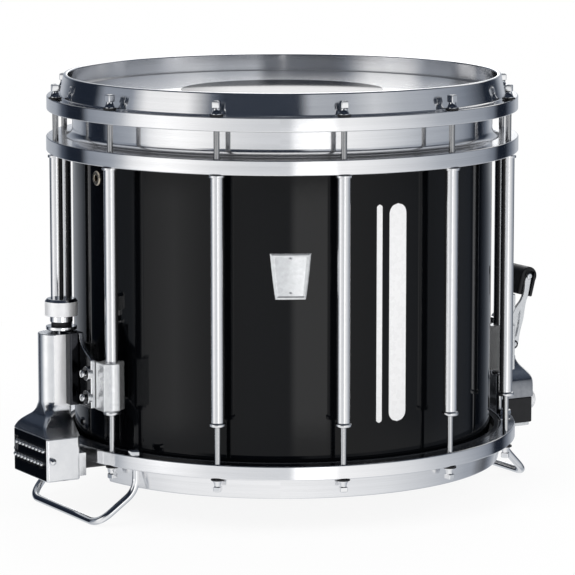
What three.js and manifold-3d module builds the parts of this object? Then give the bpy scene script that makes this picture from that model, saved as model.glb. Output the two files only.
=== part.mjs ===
// Marching snare drum: a fourteen inch shell with a suspension ring, two flanged hoops and
// twelve tube lugs, a height adjuster on one side and a lever throw-off on the other.
// Millimetres, +Z up, the floor at zero and the drum's axis on Z. Azimuth 0 faces -Y.
import * as THREE from 'three';
import { mergeVertices } from 'three/addons/utils/BufferGeometryUtils.js';
import Module from 'manifold-3d';

const wasm = await Module();
wasm.setup();

// Facet counts
const ringSides = 48;
const tubeSides = 12;
const rodSides = 8;
const boltSides = 6;
const wireSides = 8;
const knobSides = 20;
const bendSteps = 4;
const coveSteps = 3;
const arcSegments = 4;

// Fits
const gap = 0.3;
const overrun = 2;

// The drum's layout
const lugCount = 12;
const firstLugAngle = 15;
const lugAngleStep = 360 / lugCount;
const adjusterAngle = -60;
const throwOffAngle = 120;

// Shell
const shellRadius = 176.2;
const shellWall = 6.4;
const ventAngle = -58.5;
const ventDrop = 14.6;
const ventRadius = 4.2;
const ventWall = 0.9;
const ventFlangeRadius = 6.4;
const ventFlange = 1.2;

// Heads: a film drawn over the edge, moulded into a flesh hoop
const film = 0.6;
const edgeRound = 1.8;
const edgeShares = [[0, 2], [0.25, 0.75], [1, 0], [1.5, 0]];
const fleshInset = 3.6;
const fleshWidth = 5.4;
const fleshHeight = 8;
const headRise = 3;

// Hoops: a flat flange with a tapered collar
const hoopFlange = 11.5;
const hoopFlangeEdge = 4;
const hoopShoulder = 8.6;
const hoopCollar = 17.8;
const hoopRimWall = 3.5;
const hoopTaper = 2.9;
const hoopFillet = 1.5;

// Suspension ring: a flange under a plain sleeve
const ringFlange = 12.2;
const ringFlangeEdge = 4.5;
const ringRabbet = 6.5;
const ringCove = 6.6;

// Heights between the flanges: snare hoop up to the ring, and the free rods from it to the batter hoop
const ringHeight = 243.9;
const ringToHoop = 22.15;

// Lug tubes and tension rods
const rodInset = 8;
const tubeRadius = 5.4;
const tubeBoreRadius = 2.8;
const tubeStart = 41.7;
const tubeCollar = 3.6;
const tubeCollarRadius = 6.8;
const rodRadius = 2.5;
const rodThread = 32;
const rodWasherRadius = 5.5;
const rodWasher = 1.5;
const rodFlangeRadius = 4.8;
const rodSquare = 6.4;
const topHeadHeight = 9.4;
const bottomHeadHeight = 8;

// Snare strands, spread over the width of the block that holds them
const blockHalfWidth = 32;
const strandMargin = 4.1;
const strandCount = 18;
const strandRadius = 0.7;
const strandBarHeight = 2.2;
const strandBarLength = 6;
const gateMargin = 4.4;

// Sizes that follow from the ones above
const strandPitch = 2 * (blockHalfWidth - strandMargin) / strandCount;
const strandBarHalf = strandPitch * strandCount / 2 - gap;
const gateHalfWidth = strandBarHalf + gateMargin;
const fleshRadius = shellRadius + fleshInset;
const rabbetRadius = fleshRadius + fleshWidth + gap;
const rodCircle = rabbetRadius + rodInset;
const hoopRadius = rodCircle + hoopFlangeEdge;
const ringRadius = rodCircle + ringFlangeEdge;
const rimRadius = rabbetRadius - hoopTaper + gap + gap;
const rimInnerRadius = rimRadius - hoopRimWall;
const collarRadius = rimRadius + hoopTaper;

// Guards: bent wire loops that the drum stands on
const guardWire = 3.1;
const guardDrop = 39.5;
const guardReach = 8.2;
const guardHalfLength = 62.7;
const guardLegAngle = 22.3;
const guardLegInset = 2;
const guardKnee = 17.5;
const guardKneeBend = 10;
const guardBarBend = 14;
const guardNutRadius = 6;
const guardNut = 5;

// Heights in the drum, from the floor up
const strandZ = guardDrop + guardWire;
const snareFilmZ = strandZ + strandRadius + gap;
const snareFlangeTop = snareFilmZ + film + hoopFlange + headRise;
const snareFlangeZ = snareFlangeTop - hoopFlange;
const ringZ = snareFlangeZ + ringHeight;
const batterFlangeZ = ringZ + ringFlange + ringToHoop;
const batterFilmZ = batterFlangeZ + hoopFlange + headRise;

// Where the adjuster and the throw-off bolt to their clamps
const clampWidth = 20.6;
const clampDepth = 22.2;
const clampHeight = 39.2;
const clampZ = 50.6;
const clampCorner = 9;
const clampEar = 4;
const clampEarStart = 30;
const clampTubeRadius = rodCircle * Math.cos(THREE.MathUtils.degToRad(firstLugAngle));
const clampTubeSide = rodCircle * Math.sin(THREE.MathUtils.degToRad(firstLugAngle));
const seatRadius = clampTubeRadius + clampDepth / 2 + gap;
const clampBoltSide = 38;
const clampBoltRadius = 2.5;
const clampBoltHead = 3.6;
const clampBoltHeadRadius = 3.2;
const clampBoltInset = 9.8;

// Mounting plate behind each casting, with a boss at each clamp bolt
const plate = 4;
const plateHalfWidth = 43;
const plateShoulder = 91;
const plateSweepShares = [[0.87, 0.1], [0.47, 0.3], [0.19, 0.52], [0.06, 0.79]];
const bossRadius = 6;
const bossHeight = 2.7;

// Castings: column with a round nose, flare and the block under them, from the seat outwards
const columnDepth = 11.8;
const columnHalfWidth = 21.8;
const columnTop = 111.1;
const columnFoot = 51.6;
const noseDepth = 29.2;
const noseHalfWidth = 13.2;
const noseCorner = 13;
const noseTop = 109.3;
const noseSteps = 6;
const flareTop = 46.5;
const flareFoot = 27.7;
const blockStart = 8.7;
const blockDepth = 38.7;
const blockDrop = 8.4;
const wall = 3;
const castCorner = 2;

// Height adjuster
const knobInset = 9.2;
const knobRadius = 13.4;
const knobHeight = 14.1;
const knobNeckRadius = 9.3;
const knobNeck = 8.6;
const knobWasherRadius = 12.7;
const knobWasher = 2.8;
const knobBevel = 1.6;
const stemRadius = 3;
const stemEngagement = 25;
const tongueHalfWidth = 9;
const tongueDepth = 8;
const tongueTop = 58;
const tabDepth = 6;
const tabTop = 13.6;
const tabDrop = 5.8;
const tabInset = 1;

// Strand screws in two rows on the adjuster's block
const screwBlockDepth = 10;
const screwBlockTop = 21.5;
const screwBlockBottom = 1.8;
const screwRadius = 1.9;
const screwReach = 2.4;
const upperRow = 17.1;
const lowerRow = 6.1;

// Throw-off
const throwNarrowing = 3;
const throwHalfWidth = blockHalfWidth - throwNarrowing;
const throwFoot = 19;
const throwTop = 54;
const throwColumnHalfWidth = 15;
const throwColumnDepth = 29.3;
const earHalfWidth = 10.7;
const earSlot = 6.4;
const earRadius = 4.2;
const leverPivot = [27.2, 64.1];
const leverPin = [26.2, 80.5];
const leverGripPin = [42.6, 123.3];
const leverPlate = 3;
const leverHub = 4.8;
const pivotRadius = 1.8;
const pivotHeadRadius = 3.4;
const pivotHead = 2;
const linkLength = 35;
const linkHalfWidth = 2.7;
const linkRadius = 4;
const linkPinInset = 2.5;
const carriageInset = 1;
const carriageDepth = blockDepth - carriageInset;
const carriageDrop = 3.7;
const basePlate = 3;
const gripDepth = 16.2;
const gripHeight = 25.5;
const clampKnobRadius = 9;
const clampKnobReach = 17.2;
const clampKnobNeck = 3;
const clampKnobNeckRadius = 6;
const clampKnobZ = 11.2;

// Shared helpers

function polar(radius, azimuth) {
  const angle = THREE.MathUtils.degToRad(azimuth);
  return [radius * Math.sin(angle), -radius * Math.cos(angle)];
}

function welded(geometry) {
  const bare = geometry.clone();
  bare.deleteAttribute('normal');
  bare.deleteAttribute('uv');
  const merged = mergeVertices(bare);
  const corners = merged.getAttribute('position').array;
  const kept = [];
  let volume = 0;
  for (let start = 0; start < merged.index.count; start += 3) {
    const [a, b, c] = merged.index.array.subarray(start, start + 3);
    if (a === b || b === c || c === a) continue;
    kept.push(a, b, c);
    const [pa, pb, pc] = [a, b, c].map((at) => new THREE.Vector3().fromArray(corners, 3 * at));
    volume += pa.dot(pb.cross(pc));
  }
  if (volume < 0) kept.reverse();
  return { vertProperties: new Float32Array(corners), triVerts: new Uint32Array(kept) };
}

function asSolid(geometry) {
  return new wasm.Manifold(new wasm.Mesh({ numProp: 3, ...welded(geometry) }));
}

function asGeometry(solid) {
  const mesh = solid.getMesh();
  const geometry = new THREE.BufferGeometry();
  geometry.setAttribute('position', new THREE.BufferAttribute(mesh.vertProperties, 3));
  geometry.setIndex(new THREE.BufferAttribute(mesh.triVerts, 1));
  return geometry;
}

function join(...pieces) {
  return asGeometry(pieces.map(asSolid).reduce((sum, piece) => sum.add(piece)));
}

function cut(body, ...tools) {
  return asGeometry(tools.map(asSolid).reduce((rest, tool) => rest.subtract(tool), asSolid(body)));
}

// A turned piece about Z from an outline of [radius, height] points
function turned(outline, sides) {
  const points = outline.map(([radius, height]) => new THREE.Vector2(radius, height));
  if (points[0].x > 0) points.push(points[0].clone());
  return join(new THREE.LatheGeometry(points, sides).rotateX(Math.PI / 2));
}

function rod(radius, low, high, sides) {
  return turned([[0, low], [radius, low], [radius, high], [0, high]], sides);
}

// A round bar along X or Y, from one end to the other, at a given place
function barAlongX(radius, [low, high], side, height, sides) {
  return rod(radius, low, high, sides).rotateY(Math.PI / 2).translate(0, side, height);
}

function barAlongY(radius, [low, high], depth, height, sides) {
  return rod(radius, -high, -low, sides).rotateX(Math.PI / 2).translate(depth, 0, height);
}

function box([x0, x1], [y0, y1], [z0, z1]) {
  const block = new THREE.BoxGeometry(x1 - x0, y1 - y0, z1 - z0);
  return block.translate((x0 + x1) / 2, (y0 + y1) / 2, (z0 + z1) / 2);
}

// A flat plate with its outline in X and Z, spanning Y from low to high
function sidePlate(shape, [low, high]) {
  const options = { depth: high - low, bevelEnabled: false, curveSegments: arcSegments };
  return join(new THREE.ExtrudeGeometry(shape, options).rotateX(Math.PI / 2).translate(0, high, 0));
}

// A flat plate with its outline in Y and Z, spanning X from low to high
function facePlate(points, [low, high]) {
  const shape = new THREE.Shape(points.map(([side, height]) => new THREE.Vector2(side, height)));
  const plateGeometry = new THREE.ExtrudeGeometry(shape, { depth: high - low, bevelEnabled: false });
  plateGeometry.rotateX(Math.PI / 2).rotateZ(Math.PI / 2);
  return join(plateGeometry.translate(low, 0, 0));
}

// A solid skinned over a row of rings of points, closed at both ends
function skinned(rings) {
  const count = rings[0].length;
  const index = [];
  for (let level = 0; level + 1 < rings.length; level += 1) {
    for (let at = 0; at < count; at += 1) {
      const next = (at + 1) % count;
      const [low, high] = [level * count, (level + 1) * count];
      index.push(low + at, low + next, high + next, low + at, high + next, high + at);
    }
  }
  const last = (rings.length - 1) * count;
  for (let at = 1; at + 1 < count; at += 1) {
    index.push(0, at + 1, at, last, last + at, last + at + 1);
  }
  const geometry = new THREE.BufferGeometry();
  geometry.setAttribute('position', new THREE.Float32BufferAttribute(rings.flat(2), 3));
  geometry.setIndex(index);
  return join(geometry);
}

// A casting through rounded rectangles: each section is [height, inner x, outer x, half width]
function loft(sections, corner) {
  return skinned(sections.map(([height, inner, outer, half]) => [
    [inner, corner - half], [inner + corner, -half], [outer - corner, -half], [outer, corner - half],
    [outer, half - corner], [outer - corner, half], [inner + corner, half], [inner, half - corner],
  ].map(([x, y]) => [x, y, height])));
}

// A bent wire through corner points, each corner rounded over its own bend. Its sides are laid out
// from X, which no part of the wire runs along
function wire(points, radius, bends) {
  const line = [points[0]];
  bends.forEach((bend, at) => {
    const [from, corner, to] = points.slice(at, at + 3);
    const before = corner.clone().lerp(from, bend / corner.distanceTo(from));
    const after = corner.clone().lerp(to, bend / corner.distanceTo(to));
    line.push(...new THREE.QuadraticBezierCurve3(before, corner, after).getPoints(bendSteps));
  });
  line.push(points[points.length - 1]);
  return skinned(line.map((point, at) => {
    const tangent = line[Math.min(at + 1, line.length - 1)].clone().sub(line[Math.max(at - 1, 0)]);
    const side = new THREE.Vector3(1, 0, 0).cross(tangent).normalize();
    const up = side.clone().cross(tangent).normalize();
    return Array.from({ length: wireSides }, (_, step) => {
      const turn = (step / wireSides) * 2 * Math.PI;
      return point.clone().addScaledVector(side, radius * Math.cos(turn))
        .addScaledVector(up, radius * Math.sin(turn)).toArray();
    });
  }));
}

// Finishes
const finish = {
  lacquer: new THREE.MeshStandardMaterial({ color: 0x08090b, roughness: 0.12, metalness: 0 }),
  brushed: new THREE.MeshStandardMaterial({ color: 0xb9bbbe, roughness: 0.32, metalness: 1 }),
  polished: new THREE.MeshStandardMaterial({ color: 0xd6d8db, roughness: 0.12, metalness: 1 }),
  chrome: new THREE.MeshStandardMaterial({ color: 0xe4e6e8, roughness: 0.06, metalness: 1 }),
  castChrome: new THREE.MeshStandardMaterial({ color: 0xc4c6ca, roughness: 0.12, metalness: 1 }),
  blackPlastic: new THREE.MeshStandardMaterial({ color: 0x101113, roughness: 0.45, metalness: 0 }),
  film: new THREE.MeshStandardMaterial({ color: 0xb9bbbd, roughness: 0.25, metalness: 0 }),
  brass: new THREE.MeshStandardMaterial({ color: 0x8a6a35, roughness: 0.3, metalness: 1 }),
  gut: new THREE.MeshStandardMaterial({ color: 0xd8cfae, roughness: 0.5, metalness: 0 }),
};

const drum = new THREE.Group();

function piece(name, geometry, material, group = drum) {
  const mesh = new THREE.Mesh(geometry, material);
  mesh.name = name;
  group.add(mesh);
  return mesh;
}

const lugAngles = Array.from({ length: lugCount }, (_, at) => firstLugAngle + at * lugAngleStep);

// Holes for the tension rods, through a flange between two heights
function rodHoles(low, high) {
  return lugAngles.map((azimuth) => {
    const hole = rod(rodRadius + gap, low - overrun, high + overrun, rodSides);
    return hole.translate(...polar(rodCircle, azimuth), 0);
  });
}

// The bearing edge that carries a film: its outline rounds over from outside to inside
function edgeOutline(outer, inner, top, direction) {
  const rounding = edgeShares.map(([across, down]) => [
    outer - across * edgeRound, top - direction * down * edgeRound,
  ]);
  const [crest] = rounding[rounding.length - 1];
  return [...rounding, [inner, top - direction * (crest - inner)]];
}

// Wooden shell, with its lower edge cut to carry the snare head and a vent hole through the wall
function shell() {
  const inner = shellRadius - shellWall;
  const top = ringZ + ringRabbet - gap;
  const lower = edgeOutline(shellRadius, inner, snareFilmZ + film + gap, -1);
  const body = turned([...lower, [inner, top], [shellRadius, top]], ringSides);
  const span = [inner - overrun, shellRadius + overrun];
  const vent = barAlongX(ventRadius, span, 0, ringZ - ventDrop, tubeSides);
  return cut(body, vent.rotateZ(THREE.MathUtils.degToRad(ventAngle - 90)));
}
piece('shell', shell(), finish.lacquer);

// Brass eyelet that lines the vent hole
function ventEyelet() {
  const outer = ventRadius - gap;
  const face = shellRadius + gap;
  return turned([
    [outer - ventWall, shellRadius - shellWall], [outer, shellRadius - shellWall], [outer, face],
    [ventFlangeRadius, face], [ventFlangeRadius - ventFlange, face + ventFlange],
    [outer - ventWall, face + ventFlange],
  ], tubeSides).rotateY(Math.PI / 2);
}
const vent = piece('vent_eyelet', ventEyelet(), finish.brass);
vent.rotation.z = THREE.MathUtils.degToRad(ventAngle - 90);
vent.position.z = ringZ - ventDrop;

// Suspension ring: the lug tubes hang from its flange and its sleeve carries the batter head
function suspensionRing() {
  const sleeve = shellRadius;
  const flangeTop = ringZ + ringFlange;
  const cove = Array.from({ length: coveSteps + 1 }, (_, at) => {
    const turn = (at / coveSteps) * (Math.PI / 2);
    return [
      sleeve + ringCove - ringCove * Math.sin(turn),
      flangeTop + ringCove - ringCove * Math.cos(turn),
    ];
  });
  const edge = edgeOutline(sleeve, shellRadius - shellWall, batterFilmZ - gap, 1);
  const body = turned([
    [shellRadius + gap, ringZ], [ringRadius, ringZ], [ringRadius, flangeTop],
    ...cove, ...edge,
    [shellRadius - shellWall, ringZ + ringRabbet], [shellRadius + gap, ringZ + ringRabbet],
  ], ringSides);
  return cut(body, ...rodHoles(ringZ, flangeTop));
}
piece('suspension_ring', suspensionRing(), finish.brushed);

// One hoop's outline, from its flange's face at the given height towards its rim
function hoopOutline(face, direction) {
  const at = (height) => face + direction * height;
  return [
    [rabbetRadius, at(0)], [hoopRadius, at(0)], [hoopRadius, at(hoopFlange)],
    [collarRadius + hoopFillet, at(hoopFlange)], [collarRadius, at(hoopFlange + hoopFillet)],
    [rimRadius, at(hoopFlange + hoopCollar)], [rimInnerRadius, at(hoopFlange + hoopCollar)],
    [rimInnerRadius, at(hoopShoulder)], [rabbetRadius, at(hoopShoulder)],
  ];
}

function batterHoop() {
  const body = turned(hoopOutline(batterFlangeZ, 1), ringSides);
  return cut(body, ...rodHoles(batterFlangeZ, batterFlangeZ + hoopFlange));
}
piece('batter_hoop', batterHoop(), finish.brushed);

// The snare hoop has its collar cut away where the strands leave the head
function snareHoop() {
  const body = turned(hoopOutline(snareFlangeTop, -1), ringSides);
  const rim = snareFlangeZ - hoopCollar;
  const depth = [rimInnerRadius - 2 * hoopRimWall, collarRadius + 2 * hoopFillet];
  const gates = [adjusterAngle, throwOffAngle].map((azimuth) => {
    const gate = box(depth, [-gateHalfWidth, gateHalfWidth], [rim - overrun, snareFlangeZ]);
    return gate.rotateZ(THREE.MathUtils.degToRad(azimuth - 90));
  });
  const legHoles = [adjusterAngle, throwOffAngle].flatMap((azimuth) => [-1, 1].map((side) => {
    const hole = rod(guardWire + gap, snareFlangeZ - overrun, snareFlangeTop + overrun, rodSides);
    const place = polar(rodCircle - guardLegInset, azimuth + side * guardLegAngle);
    return hole.translate(...place, 0);
  }));
  return cut(body, ...gates, ...legHoles, ...rodHoles(snareFlangeZ, snareFlangeTop));
}
piece('snare_hoop', snareHoop(), finish.brushed);

// A drumhead: the film runs over the edge and down into its flesh hoop
function drumhead(face, direction) {
  const at = (height) => face + direction * height;
  const under = hoopFlange + headRise;
  const bend = fleshRadius - fleshInset / 2;
  return turned([
    [0, at(under)], [shellRadius - edgeRound, at(under)],
    [shellRadius + gap, at(under - edgeRound)], [bend - film, at(hoopShoulder - gap)],
    [fleshRadius, at(hoopShoulder - edgeRound)], [fleshRadius, at(hoopShoulder - gap - fleshHeight)],
    [fleshRadius + fleshWidth, at(hoopShoulder - gap - fleshHeight)],
    [fleshRadius + fleshWidth, at(hoopShoulder - gap)], [bend, at(hoopShoulder - gap)],
    [shellRadius + gap + film, at(under + film - edgeRound)],
    [shellRadius - edgeRound, at(under + film)], [0, at(under + film)],
  ], ringSides);
}
piece('batter_head', drumhead(batterFlangeZ, 1), finish.film);
piece('snare_head', drumhead(snareFlangeTop, -1), finish.film);

// Lug tubes, hung under the ring, each with a collar at its foot
function lugTube() {
  const low = snareFlangeZ + tubeStart;
  const high = ringZ - gap;
  return turned([
    [tubeBoreRadius, low], [tubeCollarRadius, low], [tubeCollarRadius, low + tubeCollar],
    [tubeRadius, low + tubeCollar], [tubeRadius, high], [tubeBoreRadius, high],
  ], tubeSides);
}

// Tension rods with a washer and a square key head; the shank runs into the tube
function tensionRod(seat, direction, headHeight, shankEnd) {
  const at = (height) => seat + direction * height;
  const base = gap + rodWasher;
  const flange = base + rodWasher;
  const shank = turned([
    [0, shankEnd], [rodRadius, shankEnd], [rodRadius, at(gap)], [rodWasherRadius, at(gap)],
    [rodWasherRadius, at(base)], [rodFlangeRadius, at(base)], [rodFlangeRadius, at(flange)],
    [0, at(flange)],
  ], rodSides);
  const half = rodSquare / 2;
  const ends = [at(flange - rodWasher / 2), at(flange + headHeight)].sort((a, b) => a - b);
  return join(shank, box([-half, half], [-half, half], ends));
}

const tubeGeometry = lugTube();
const topRodGeometry = tensionRod(
  batterFlangeZ + hoopFlange, 1, topHeadHeight, ringZ - rodThread);
const bottomRodGeometry = tensionRod(
  snareFlangeZ, -1, bottomHeadHeight, snareFlangeZ + tubeStart + rodThread);
lugAngles.forEach((azimuth, at) => {
  const number = String(at + 1).padStart(2, '0');
  const place = polar(rodCircle, azimuth);
  const parts = [
    piece(`lug_tube_${number}`, tubeGeometry, finish.polished),
    piece(`top_tension_rod_${number}`, topRodGeometry, finish.chrome),
    piece(`bottom_tension_rod_${number}`, bottomRodGeometry, finish.chrome),
  ];
  parts.forEach((part) => {
    part.position.set(...place, 0);
    part.rotation.z = THREE.MathUtils.degToRad(azimuth);
  });
});

// A group at one side of the drum: X runs outwards from the clamp seat, Y sideways along the hoop,
// and Z is counted from the strands
function sideGroup(azimuth) {
  const group = new THREE.Group();
  group.rotation.z = THREE.MathUtils.degToRad(azimuth - 90);
  const [x, y] = polar(seatRadius, azimuth);
  group.position.set(x, y, strandZ);
  drum.add(group);
  return group;
}
const adjuster = sideGroup(adjusterAngle);
const throwOff = sideGroup(throwOffAngle);

// Guard: a wire loop under the block, its two legs nutted through the snare hoop's flange
function guard() {
  const legRadius = rodCircle - guardLegInset;
  const angle = THREE.MathUtils.degToRad(guardLegAngle);
  const legX = legRadius * Math.cos(angle) - seatRadius;
  const legY = legRadius * Math.sin(angle);
  const flangeTop = snareFlangeTop - strandZ;
  const knee = -guardKnee + snareFlangeZ - strandZ;
  const half = [
    new THREE.Vector3(legX, legY, flangeTop + guardNut),
    new THREE.Vector3(legX, legY, knee),
    new THREE.Vector3(guardReach, guardHalfLength, -guardDrop),
  ];
  const mirrored = half.map((point) => new THREE.Vector3(point.x, -point.y, point.z)).reverse();
  const bends = [guardKneeBend, guardBarBend, guardBarBend, guardKneeBend];
  const loop = wire([...half, ...mirrored], guardWire, bends);
  const nuts = [-1, 1].map((side) => {
    const low = flangeTop + gap;
    return rod(guardNutRadius, low, flangeTop + guardNut - gap, boltSides)
      .translate(legX, side * legY, 0);
  });
  return join(loop, ...nuts);
}
piece('adjuster_guard', guard(), finish.chrome, adjuster);
piece('throw_off_guard', guard(), finish.chrome, throwOff);

// Tube clamp: a block round one lug tube, with an ear and two bolts that carry the casting
const boltHeights = [clampZ + clampBoltInset, clampZ + clampHeight - clampBoltInset];

function tubeClamp(side) {
  const tubeX = -gap - clampDepth / 2;
  const across = (low, high) => [side * low, side * high].sort((a, b) => a - b);
  const heights = [clampZ, clampZ + clampHeight];
  const block = loft(heights.map((height) => [height, tubeX - clampDepth / 2, -gap, clampWidth / 2]),
    clampCorner).translate(0, side * clampTubeSide, 0);
  const ear = box([-gap - clampEar, -gap], across(clampEarStart, clampTubeSide), heights);
  const boltEnd = plate + bossHeight + gap;
  const bolts = boltHeights.flatMap((height) => [
    barAlongX(clampBoltRadius, [-clampEar, boltEnd + overrun], side * clampBoltSide, height, rodSides),
    barAlongX(clampBoltHeadRadius, [boltEnd, boltEnd + clampBoltHead],
      side * clampBoltSide, height, boltSides),
  ]);
  const bore = rod(tubeRadius + gap, clampZ - overrun, clampZ + clampHeight + overrun, tubeSides)
    .translate(tubeX, side * clampTubeSide, 0);
  return join(cut(join(block, ear), bore), ...bolts);
}

for (const [name, group] of [['adjuster', adjuster], ['throw_off', throwOff]]) {
  piece(`${name}_tube_clamp_a`, tubeClamp(1), finish.brushed, group);
  piece(`${name}_tube_clamp_b`, tubeClamp(-1), finish.brushed, group);
}

// The plate behind a casting, rising to the given height in the middle, with its bolt bosses
function mountingPlate(middleTop) {
  const sweep = plateSweepShares.map(([out, up]) => [
    columnHalfWidth + out * (plateHalfWidth - columnHalfWidth),
    plateShoulder + up * (middleTop - plateShoulder),
  ]);
  const half = [[plateHalfWidth, columnFoot], [plateHalfWidth, plateShoulder], ...sweep,
    [columnHalfWidth, middleTop]];
  const outline = [...half, ...half.map(([side, height]) => [-side, height]).reverse()];
  const bosses = [];
  const holes = [];
  for (const side of [-1, 1]) {
    for (const height of boltHeights) {
      const y = side * clampBoltSide;
      bosses.push(barAlongX(bossRadius, [plate / 2, plate + bossHeight], y, height, tubeSides));
      holes.push(barAlongX(clampBoltRadius + gap, [-overrun, plate + bossHeight + overrun],
        y, height, rodSides));
    }
  }
  return cut(join(facePlate(outline, [0, plate]), ...bosses), ...holes);
}

// A section of the adjuster's nose: straight sides and a front with two round corners
function noseRing([height, inner, outer, half, corner]) {
  const side = [[inner, half], ...Array.from({ length: noseSteps + 1 }, (_, step) => {
    const turn = (step / noseSteps) * Math.PI / 2;
    return [outer - corner + corner * Math.sin(turn), half - corner + corner * Math.cos(turn)];
  })];
  return [...side.map(([x, y]) => [x, -y, height]), ...side.map(([x, y]) => [x, y, height]).reverse()];
}

// Height adjuster's casting: a column with a round nose that flares out over the strand block
function adjusterHousing() {
  const rise = flareTop - flareFoot;
  const reach = blockDepth - noseDepth;
  const spread = blockHalfWidth - noseHalfWidth;
  const round = noseCorner - castCorner;
  const flareShares = [[0, 1, 1, 0], [0.23, 0.96, 0.75, 0.02], [0.41, 0.81, 0.56, 0.06],
    [0.58, 0.5, 0.37, 0.13], [0.78, 0.12, 0.13, 0.25], [1, 0, 0, 0.5]];
  const nose = flareShares.map(([up, out, side, turn]) => [
    flareFoot + up * rise, blockStart + (up > 0 ? gap : 0), noseDepth + out * reach,
    noseHalfWidth + side * spread, castCorner + turn * round,
  ]);
  for (const height of [columnFoot, noseTop]) {
    nose.push([height, blockStart + gap, noseDepth, noseHalfWidth, noseCorner]);
  }
  const back = [columnFoot, columnTop].map((height) => [height, plate - gap, columnDepth, columnHalfWidth]);
  const body = join(skinned(nose.map(noseRing)), loft(back, castCorner), mountingPlate(columnTop));
  const slot = tongueHalfWidth + gap;
  const channel = box([-overrun, knobInset + tongueDepth / 2 + gap], [-slot, slot],
    [flareFoot - overrun, columnTop - 4 * wall]);
  const stemHole = rod(stemRadius + gap, columnFoot, columnTop + overrun, tubeSides)
    .translate(knobInset, 0, 0);
  const hollow = loft([
    [flareFoot - overrun, blockStart + wall, blockDepth - wall, blockHalfWidth - wall],
    [flareFoot + rise / 2, blockStart + wall, noseDepth - wall, noseHalfWidth],
  ], castCorner);
  return cut(body, channel, stemHole, hollow);
}
piece('height_adjuster_housing', adjusterHousing(), finish.castChrome, adjuster);

// Height knob: a turned cap over a neck and a washer, with a threaded stem down the column
function heightKnob() {
  const seat = columnTop + gap;
  const neckTop = seat + knobWasher + knobNeck;
  const top = neckTop + knobHeight;
  const stemFoot = tongueTop - stemEngagement;
  return turned([
    [0, stemFoot], [stemRadius, stemFoot], [stemRadius, seat], [knobWasherRadius, seat],
    [knobWasherRadius, seat + knobWasher], [knobNeckRadius, seat + knobWasher],
    [knobNeckRadius, neckTop], [knobRadius, neckTop], [knobRadius, top - knobBevel],
    [knobRadius - knobBevel, top], [0, top],
  ], knobSides).translate(knobInset, 0, 0);
}
piece('height_knob', heightKnob(), finish.chrome, adjuster);

// Strand block: a box under the flare that the knob's stem raises and lowers by its tongue
function strandBlock() {
  const top = flareFoot - gap;
  const outer = loft([[-blockDrop, blockStart, blockDepth, blockHalfWidth],
    [top, blockStart, blockDepth, blockHalfWidth]], castCorner);
  const hollow = box([blockStart + wall, blockDepth - wall],
    [wall - blockHalfWidth, blockHalfWidth - wall], [wall - blockDrop, top + overrun]);
  const window = box([blockDepth - 2 * wall, blockDepth + overrun],
    [wall - blockHalfWidth, blockHalfWidth - wall], [screwBlockBottom, screwBlockTop]);
  const tab = box([blockStart - tabDepth, blockStart + wall / 2],
    [tabInset - blockHalfWidth, blockHalfWidth - tabInset], [-tabDrop, tabTop]);
  const tongueX = [knobInset - tongueDepth / 2, knobInset + tongueDepth / 2];
  const tongue = box(tongueX, [-tongueHalfWidth, tongueHalfWidth], [tabTop - wall, tongueTop]);
  const stemHole = rod(stemRadius + gap, tabTop, tongueTop + overrun, tubeSides)
    .translate(knobInset, 0, 0);
  const slotHeight = strandBarHeight / 2 + gap + gap;
  const slot = box([-tabDepth, blockStart + wall + overrun],
    [-strandBarHalf - gap, strandBarHalf + gap], [-slotHeight, slotHeight]);
  return cut(join(cut(outer, hollow, window), tab, tongue), stemHole, slot);
}
piece('strand_block', strandBlock(), finish.castChrome, adjuster);

// Strand screws: a bar with two staggered rows of screws, one to each strand
function strandScrews() {
  const half = blockHalfWidth - wall - gap;
  const bar = box([blockDepth - screwBlockDepth, blockDepth],
    [-half, half], [screwBlockBottom + gap, screwBlockTop - gap]);
  const screws = Array.from({ length: strandCount }, (_, at) => {
    const side = (at - (strandCount - 1) / 2) * strandPitch;
    const height = at % 2 ? upperRow : lowerRow;
    return barAlongX(screwRadius, [blockDepth - wall, blockDepth + screwReach], side, height,
      boltSides);
  });
  return join(bar, ...screws);
}
piece('strand_screws', strandScrews(), finish.chrome, adjuster);

// Snare strands: parallel strands under the snare head, moulded into a bar at each end
function snareStrands() {
  const reach = seatRadius + blockStart + wall + strandBarLength / 2;
  const strands = Array.from({ length: strandCount }, (_, at) => barAlongX(strandRadius,
    [-reach, reach], (at - (strandCount - 1) / 2) * strandPitch, 0, boltSides));
  const barHeight = strandBarHeight / 2;
  const bars = [-1, 1].map((end) => {
    const span = [end * reach, end * (reach + strandBarLength)].sort((a, b) => a - b);
    return box([span[0] - strandRadius, span[1] + strandRadius],
      [-strandBarHalf, strandBarHalf], [-barHeight, barHeight]);
  });
  return join(...bars, ...strands);
}
const strands = piece('snare_strands', snareStrands(), finish.gut);
strands.rotation.z = THREE.MathUtils.degToRad(throwOffAngle - 90);
strands.position.z = strandZ;

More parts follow.
